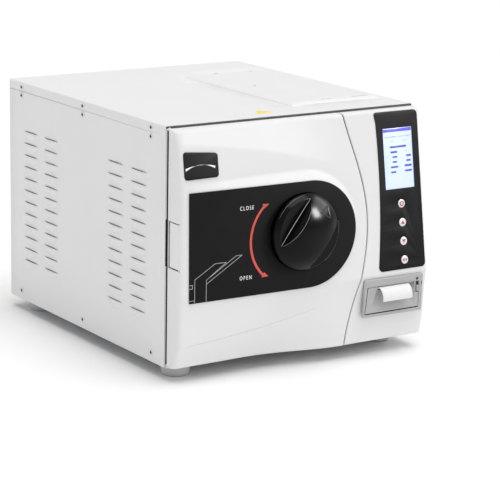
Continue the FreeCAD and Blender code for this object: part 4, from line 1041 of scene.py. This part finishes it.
def make_buttons():
    icons = {"select": "sides", "down": "down", "up": "up", "start": "ring"}
    for row, (which, icon) in enumerate(icons.items()):
        v = BUTTON_V + BUTTON_STEP * row
        body = which + "_button"
        centre = on_console() @ at(BUTTON_X, v, 0)
        profile = [(0, 1.75), (2.5, 1.72), (4.6, 1.6), (5.8, 1.42), (6.3, 1.15), (6.45, 0.7),
                   (6.45, -3.6), (7.8, -3.6), (7.8, -5), (0, -5)]
        cap = lathe(f"button_cap_{which}", profile, centre, body, "button_white", steps=48)
        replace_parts(cap, f"button_{which}")
        if icon == "ring":
            teeth = []
            for i in range(16):
                a = 22.5 * i
                radius = 4.3 if i % 2 else 3.4
                teeth += arc(0, 0, radius, a - 8, a + 8, 3)
            loops = [[teeth, circle(0, 0, 2.0, 32)]]
        elif icon == "up":
            loops = [[[(-3.4, -2.7), (3.4, -2.7), (0, 3.5)]]]
        elif icon == "down":
            loops = [[[(-3.4, 2.7), (0, -3.5), (3.4, 2.7)]]]
        else:
            loops = [[[(-4.4, 0), (-1, -2.9), (-1, 2.9)]], [[(4.4, 0), (1, 2.9), (1, -2.9)]]]
        for index, loop in enumerate(loops):
            outline_plate(f"button_icon_{which}_{index}", loop, 0.3, 0.04, centre @ lay(1.7), body,
                          "button_white", icon_red, 1)


make_door_cover()
make_console_shell()
make_oval_plate()
make_turn_arc()
word("legend_close", "CLOSE", -125, 256.6, 6, 23.5)
word("legend_open", "OPEN", -123.5, 151.6, 6, 20.3)
make_lines()
make_badge()
make_crease()
make_seam_shadow()
make_hinge_strip()
make_knob()
make_knob_mark()
make_knob_highlights()
make_keypad()
make_display()
make_buttons()


# ---------------------------------------------------------------- casing

CASE_FRONT, REAR, TOP, FOOT, SIDE, COVER_FLANGE = -208, 282, 382, 20, 222.5, 14.5
LOUVRE_Y, LOUVRE_LONG, LOUVRE_PAIR, LOUVRE_GROUP = -154.6, 45, 68.3, 272.6
LOUVRE_LOW, LOUVRE_HIGH, LOUVRE_PITCH, LOUVRE_ROWS, LOUVRE_SLIT = 77, 13, 19.4, 12, 0.6
LOUVRE_RISE = 2.2


def make_side_panel(side):
    """A side sheet pressed with rows of louvres: a slit, and a smooth half-moon below it."""
    starts = [LOUVRE_Y + a + b for a in (0, LOUVRE_GROUP) for b in (0, LOUVRE_PAIR)]
    slits = [LOUVRE_LOW + LOUVRE_HIGH + LOUVRE_PITCH * row for row in range(LOUVRE_ROWS)]
    across = {CASE_FRONT, CASE_FRONT + 0.6, REAR - 0.6, REAR}
    for start in starts:
        across |= {start + LOUVRE_LONG * k / 20 for k in range(21)}
        across |= {start - 2, start + LOUVRE_LONG + 2}
    top = TOP - COVER_FLANGE - 0.08
    up = {FOOT, FOOT + 0.6, top - 2.2, top - 0.6}
    for slit in slits:
        up |= {slit - LOUVRE_HIGH * (1 - (k / 9) ** 2) for k in range(10)}
        up |= {slit + LOUVRE_SLIT, slit + LOUVRE_SLIT + 2}
    across, up = sorted(across), sorted(up)

    def rise(y, z):
        for slit in slits:
            if slit - LOUVRE_HIGH - 0.01 < z < slit + 0.01:
                for start in starts:
                    u = (y - start - LOUVRE_LONG / 2) / (LOUVRE_LONG / 2)
                    v = (slit - z) / LOUVRE_HIGH
                    far = math.sqrt(u * u * 0.98 + v * v)
                    if far < 1:
                        return LOUVRE_RISE * ease((1 - far) * 2.3)
        return 0.0

    def solid(i, j):
        y, z = (across[j] + across[j + 1]) / 2, (up[i] + up[i + 1]) / 2
        return not (any(slit < z < slit + LOUVRE_SLIT for slit in slits)
                    and any(start + 0.5 < y < start + LOUVRE_LONG - 0.5 for start in starts))

    verts = []
    for i, z in enumerate(up):
        for y in across:
            high = z
            if i == len(up) - 1:
                high = lerp(top, top - 0.5, clamp((y - CASE_FRONT) / (REAR - CASE_FRONT)))
            fold = 0.35 if y in (CASE_FRONT, REAR) or i == 0 else 0.0
            verts.append((side * (SIDE - 0.05 + rise(y, z) - fold), y, high))
    where = side_name(side)
    panel = piece(f"side_sheet_{where}", verts, grid_faces(len(up), len(across), solid), "casing",
                  "casing_white", smooth=50)
    thicken(panel, 1.3)
    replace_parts(panel, f"side_panel_{where}")
    # Grey blocks behind the slits give them their tone: painted shade seen through the slits.
    x = side * (SIDE - 2.4)
    boxes = [((x, x + side * -1.2), (start - 2, start + LOUVRE_LONG + 2), (slit - 8, slit + 4))
             for start in starts for slit in slits]
    slit_shade = piece(f"louvre_baffles_{where}", *blocks(boxes), "casing", "casing_white", grey)
    round_edges(slit_shade, 0.3)


def side_name(side):
    return "left" if side < 0 else "right"


def make_top_cover():
    """A sheet folded down along both sides, with an opening under the tank lid."""
    half, bend = SIDE - 0.05, 2.2
    section = [(-half, TOP - COVER_FLANGE), (-half, TOP - COVER_FLANGE + 1)]
    section += arc(-half + bend, TOP - bend - 0.05, bend, 180, 90, 8)
    for x in (-150, -80, 0, 50, 90, 130, 160, 196):
        section.append((x, TOP - 0.05))
    section += arc(half - bend, TOP - bend - 0.05, bend, 90, 0, 8)
    section += [(half, TOP - COVER_FLANGE + 1), (half, TOP - COVER_FLANGE)]
    runs = [CASE_FRONT, CASE_FRONT + 0.5, -180, -138, -70, 0, 80, 148, 220, REAR - 0.5, REAR]
    verts = []
    for k, y in enumerate(runs):
        fold = 0.4 if k in (0, len(runs) - 1) else 0.0
        for x, z in section:
            verts.append((x * (1 - fold / SIDE), y, z - fold))

    def solid(k, i):
        """Leaves out the opening under the tank lid."""
        x, y = (section[i][0] + section[i + 1][0]) / 2, (runs[k] + runs[k + 1]) / 2
        return not (50 < x < 196 and -138 < y < 148 and section[i][1] > TOP - 1)

    cover = piece("top_sheet", verts, grid_faces(len(runs), len(section), solid), "casing",
                  "casing_white", smooth=30)
    thicken(cover, 1.4)
    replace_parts(cover, "top_cover")


def make_tank_lid():
    """A pressed lid: sloping sides, a raised middle with two grips drawn as grey strips of
    painted shade, and a ring that drops in.
    """
    left, right, front, back = 38, 208, -150, 160
    steps = [(0, 382.15), (0.3, 382.4), (4.5, 385.2), (6, 385.75), (8, 385.95)]

    def places(low, high, inner):
        return sorted({low + s for s, _ in steps} | {high - s for s, _ in steps} | set(inner))

    xs = places(left, right, [58 + 7 * k for k in range(20)])
    ys = places(front, back, [-140 + 6 * k for k in range(49)])

    def height(x, y):
        inside = min(x - left, right - x, y - front, back - y)
        z = through(steps, max(0.0, min(inside, (x - left) * 0.55)))
        ridge = math.exp(-((x - 97 - 2.4 * (y - 20) / -116) / 2.2) ** 2) * ease((130 - abs(y - 22)) / 30)
        return z - 0.45 * ridge

    lid = piece("lid_sheet", [(x, y, height(x, y)) for y in ys for x in xs],
                grid_faces(len(ys), len(xs)), "water_lid", "casing_white", smooth=30)
    thicken(lid, 1.6)
    plug = outline_plate("lid_plug", [round_rectangle((51.2, -136.8), (194.8, 146.8), 5),
                                      round_rectangle((53.2, -134.8), (192.8, 144.8), 4)], 8, 0.3, lay(380.2),
                         "water_lid", "casing_white")
    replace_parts(lid, "tank_lid")
    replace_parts(plug, "tank_lid")
    for index, (x, y) in enumerate(((94.6, 153.8), (160, 149.4), (79.9, 16.6))):
        z = height(x, min(y, 151))
        profile = [(0, 0.1), (1.1, 0.1), (1.2, 0.5), (2.4, 0.45), (2.9, 0.1), (3, -0.6), (0, -0.6)]
        lathe(f"lid_screw_{index}", profile, at(x, y, z), "water_lid", "screw_steel", steps=24)
    # The grips are flat grey strips: painted shade of the grip slots.
    for index, ends in enumerate(([(158, -140), (190, -138)], [(100, -139), (119, -141)])):
        outline_plate(f"lid_grip_{index}", [thick_line(ends, 1.6)], 0.5, 0.2, lay(385.9),
                      "water_lid", "casing_white", grey)


def make_sticker():
    base = [(-16.3, -181.3), (-34.2, -159.8), (-49.5, -185.2)]
    outline_plate("hot_sticker", [base], 0.3, 0.1, lay(TOP + 0.05), "casing", "casing_white", yellow)


def make_screws():
    """Pan heads with a cross recess whose depth is painted shade; the CAD's own places."""
    spots = [(y, z) for y in (-168.5, 36, 238) for z in (374, 360.6)]
    spots += [(-174, 35), (35.5, 35), (241.5, 35)]
    profile = [(0, 0.55), (1.2, 0.6), (1.3, 1.6), (2.7, 1.5), (3.7, 1.1), (4.3, 0.4), (4.35, 0), (0, 0)]
    first = None
    for side in (-1, 1):
        for index, (y, z) in enumerate(spots):
            where = at(side * SIDE, y, z) @ turned(90 * side, "Y")
            head = lathe(f"side_screw_{side_name(side)}_{index}", profile, where, "casing",
                         "screw_steel", silver_paint, 28)
            first = first or head
            cross(f"side_recess_{side_name(side)}_{index}", where)
    for index, (x, z) in enumerate((x, z) for x in (-190, 0, 200) for z in (35, 374)):
        where = at(x, REAR, z) @ turned(-90, "X")
        lathe(f"rear_screw_{index}", profile, where, "casing", "screw_steel", silver_paint, 28)
        cross(f"rear_recess_{index}", where)
    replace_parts(first, "casing_screws")


def cross(name, where):
    """The recess in a screw head, as a flat dark plate: painted shade."""
    arm, wide = 2.6, 1.1
    loop = [(-wide, -arm), (wide, -arm), (wide, -wide), (arm, -wide), (arm, wide), (wide, wide),
            (wide, arm), (-wide, arm), (-wide, wide), (-arm, wide), (-arm, -wide), (-wide, -wide)]
    outline_plate(name, [loop], 0.9, 0.1, where @ lay(1.3), "casing", "screw_steel", dark, 1)


def make_feet():
    first = None
    profile = [(0, 0), (19.5, 0), (20.6, 0.5), (21.2, 1.6), (22.0, 9.5), (22.4, 15.8), (22.1, 17.2),
               (21.0, 18.0), (18.6, 18.4), (18.2, FOOT), (0, FOOT)]
    for x in (-187, 187):
        for y in (CASE_FRONT + 24, CASE_FRONT + 445):
            foot = lathe(f"foot_{side_name(x)}_{'front' if y < 0 else 'rear'}", profile,
                         at(x, y, 0), "casing", "foot_grey", steps=72, smooth=28)
            first = first or foot
    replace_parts(first, "feet")


def bar(name, x, y, z, body, slot, material=None, bevel=0.25):
    """A long block with rounded edges between two places on each axis."""
    item = piece(name, *blocks([(x, y, z)]), body, slot, material)
    round_edges(item, bevel, segments=3)
    return item


def make_gap_shadows():
    """Dark strips of painted shadow in the gaps between the casing and the front mouldings,
    and the casing's edge.
    """
    def shadow_strip(name, x, y, z, body="casing", bevel=0.25):
        bar(name, x, y, z, body, "fan_black", dark, bevel)

    # Each dark strip is painted shadow in a gap.
    shadow_strip("gap_shadow_left", (-219.4, -215), (-209.0, -208.05), (22, 378))
    bar("casing_lip", (-222.3, -219.6), (-208.5, -208.02), (21, 379), "casing", "casing_white",
        bevel=0.3)
    shadow_strip("gap_shadow_hinge", (-221.4, -214.6), (-209.0, -208.01), (STRIP_LOW, STRIP_HIGH))
    shadow_strip("gap_shadow_right", (215, 222.2), (-208.28, -208.02), (24, 378), bevel=0.08)
    shadow_strip("gap_shadow_top", (-221.8, 221.8), (-210.2, -208.05), (378.0, 380.7))
    shadow_strip("hinge_shadow", (-222.1, -219.5), (-249.0, -228), (STRIP_LOW - 1.4, STRIP_HIGH + 1.2),
         "door")


# ---------------------------------------------------------------- printer

HATCH_X, HATCH_Z, HATCH_FRONT, HATCH_LEAN = (105, 202.8), (72, 112.5), -269.4, 4.3
PAPER_WIDE = 57
RAMP_LEFT, RAMP_RIGHT, PAPER_LEFT = 117, 196, 125.5


def make_printer():
    """The bezel, the walls of the paper bay behind it, the lamp, and dark strips of painted
    shade in the slit and the bottom gap.
    """
    outside = [(96.6, 67.2), (97.6, 66.0), (209.4, 65.0), (210.2, 65.8), (211, 122.6), (210, 124),
               (100.0, 125.2), (98.9, 124.3)]
    opening = [(99.9, 70.6), (203.4, 70.6), (203.6, 112.7), (104.2, 113.1)]
    bezel = outline_plate("printer_bezel", [outside, opening], 4.4, 1.1, facing(0, -267.4, 0),
                          "casing", "printer_grey", resolution=4)
    left, right, front, back, low, high, wall = 101.5, 207.5, -265.6, -209, 68.5, 120.5, 2
    walls = [((left, left + wall), (front, back), (low, high)),
             ((right - wall, right), (-260, back), (low, high)),
             ((left, right), (front, back), (low, low + wall)),
             ((left, right), (front, back), (high - wall, high)),
             ((left, right), (back - wall, back), (low, high))]
    bay = piece("printer_bay", *blocks(walls), "casing", "printer_grey", smooth=30)
    round_edges(bay, 0.3)
    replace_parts(bezel, "printer_body")
    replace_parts(bay, "printer_body")
    lathe("printer_lamp", [(0, 1.1), (1.1, 1.0), (1.8, 0.6), (2.1, 0), (2.1, -1.5), (0, -1.5)],
          facing(199.5, -269.8, 117.2), "casing", "switch_black", dark, 32)
    # Painted shadow in the gap under the hatch.
    bar("printer_gap_shadow", (101, 202.9), (-269.0, -262), (70.55, 70.9), "casing",
        "switch_black", painted_shadow, 0.1)
    # Painted shade in the slit beside the hatch.
    bar("printer_slit_shade", (207.5, 208.6), (-269.95, -268), (106.5, 112), "casing", "switch_black",
        dark, 0.15)


def hatch_depth(x, z):
    """The hatch's front: flat at its rim and scooped to a ramp that is deepest at the top."""
    high = clamp((z - 75) / (HATCH_Z[1] - 75))
    left = clamp((x - RAMP_LEFT - 14 * (high - 0.5)) / 4)
    right = clamp((RAMP_RIGHT - x) / 5)
    return HATCH_FRONT + 9.5 * ease(left) * ease(right) * high ** 0.9


def make_hatch():
    xs = spread(*HATCH_X, (0, 0.25, 0.7, 1.4, 3), 1.3)
    zs = spread(*HATCH_Z, (0, 0.25, 0.7, 1.4), 1.2)
    notch_x, notch_z = 197.8, 95.6

    def front(x, z):
        y = hatch_depth(x, z)
        for far in (x - HATCH_X[0], HATCH_X[1] - x, z - HATCH_Z[0]):
            y += edge_drop(far, 0.7)
        return y

    def lean(x, z):
        """The left edge leans outwards towards the foot."""
        drop = 1 - (z - HATCH_Z[0]) / (HATCH_Z[1] - HATCH_Z[0])
        return x - HATCH_LEAN * drop * clamp((RAMP_LEFT - x) / 12)

    def solid(i, j):
        """Leaves out the notch for the lever."""
        return not ((xs[j] + xs[j + 1]) / 2 > notch_x and (zs[i] + zs[i + 1]) / 2 > notch_z)

    hatch = piece("hatch_lid", [(lean(x, z), front(x, z), z) for z in zs for x in xs],
                  grid_faces(len(zs), len(xs), solid), "printer_door", "printer_grey")
    thicken(hatch, 1.5)
    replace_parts(hatch, "printer_hatch")
    roller = lathe("hatch_roller", [(0, 0), (3.4, 0), (4, 0.6), (4, 54.4), (3.4, 55), (0, 55)],
                   at(127, -257.6, 106) @ turned(90, "Y"),
                   "printer_door", "printer_grey", dark, 36)
    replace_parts(roller, "printer_hatch")
    lever = bar("hatch_lever", (198.3, 202.6), (-270.6, -263), (97, 106.2), "printer_catch",
                "printer_grey", bevel=0.6)
    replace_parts(lever, "printer_lever")
    bar("hatch_tear_bar", (PAPER_LEFT - 2, RAMP_RIGHT - 3), (-268.8, -266), (111.5, 112.4),
        "printer_door", "printer_grey")
    # Painted shade in the lever's groove.
    bar("hatch_lever_groove_shade", (199.5, 201.7), (-270.75, -270.2), (101.4, 102.2), "printer_catch",
        "printer_grey", dark, 0.1)


def make_paper():
    """The paper on its roll, and its end curling forwards and down."""
    profile = [(6.2, 0.4), (7, 0), (18.6, 0), (18.95, 0.3), (18.95, 56.7), (18.6, PAPER_WIDE),
               (7, PAPER_WIDE), (6.2, 56.6), (6.2, 0.4)]
    roll = lathe("paper_on_roll", profile, at(128, -234, 92) @ turned(90, "Y"), "roll", "paper",
                 steps=96)
    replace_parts(roll, "paper_roll")
    path = [(-259.5, 102.5), (-261.5, 107.3), (-264.5, 110.2), (-268.5, 111.2), (-272.5, 110.6),
            (-276, 108.5), (-278.8, 105.4), (-280.7, 101.7), (-281.7, 98), (-282.0, 94.6),
            (-281.9, 91.4)]
    verts, half, along, across = [], PAPER_WIDE / 2, 60, 24
    for y, z in (through_path(path, k / along) for k in range(along + 1)):
        for x in (PAPER_LEFT + PAPER_WIDE * k / across for k in range(across + 1)):
            sag = 0.8 * ((x - PAPER_LEFT - half) / half) ** 2
            verts.append((x, y + sag * clamp((-262 - y) / 10), z))
    strip = piece("paper_end", verts, grid_faces(along + 1, across + 1), "printer_door", "paper",
                  smooth=60)
    modify(strip, "SOLIDIFY", thickness=0.16 * MM, offset=0)
    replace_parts(strip, "paper_strip")


def through_path(points, t):
    """A place along a smooth curve through the points."""
    count = len(points) - 1
    k = min(int(t * count), count - 1)
    u = t * count - k
    p = [points[max(0, min(count, k + d))] for d in (-1, 0, 1, 2)]
    return tuple(0.5 * (2 * b + (c - a) * u + (2 * a - 5 * b + 4 * c - d) * u * u
                        + (3 * b - a - 3 * c + d) * u ** 3) for a, b, c, d in zip(*p))


def soften_nodes():
    """Small rounds on the edges of the CAD parts that stay visible."""
    for name in ("rear_panel", "front_panel", "base_pan", "fan_frame", "fan_rotor", "power_inlet",
                 "power_switch", "safety_valve", "drain_spigots", "hinge_bracket", "hinge_arm",
                 "steam_generator", "vacuum_pump", "valve_block", "clean_water_tank",
                 "used_water_tank", "tray_rack", "trays", "lock_ring", "pressure_plate",
                 "door_inner_cover", "main_board"):
        round_edges(NODES[name], 0.35, 40)


make_side_panel(-1)
make_side_panel(1)
make_top_cover()
make_tank_lid()
make_sticker()
make_screws()
make_feet()
make_gap_shadows()
make_printer()
make_hatch()
make_paper()
soften_nodes()
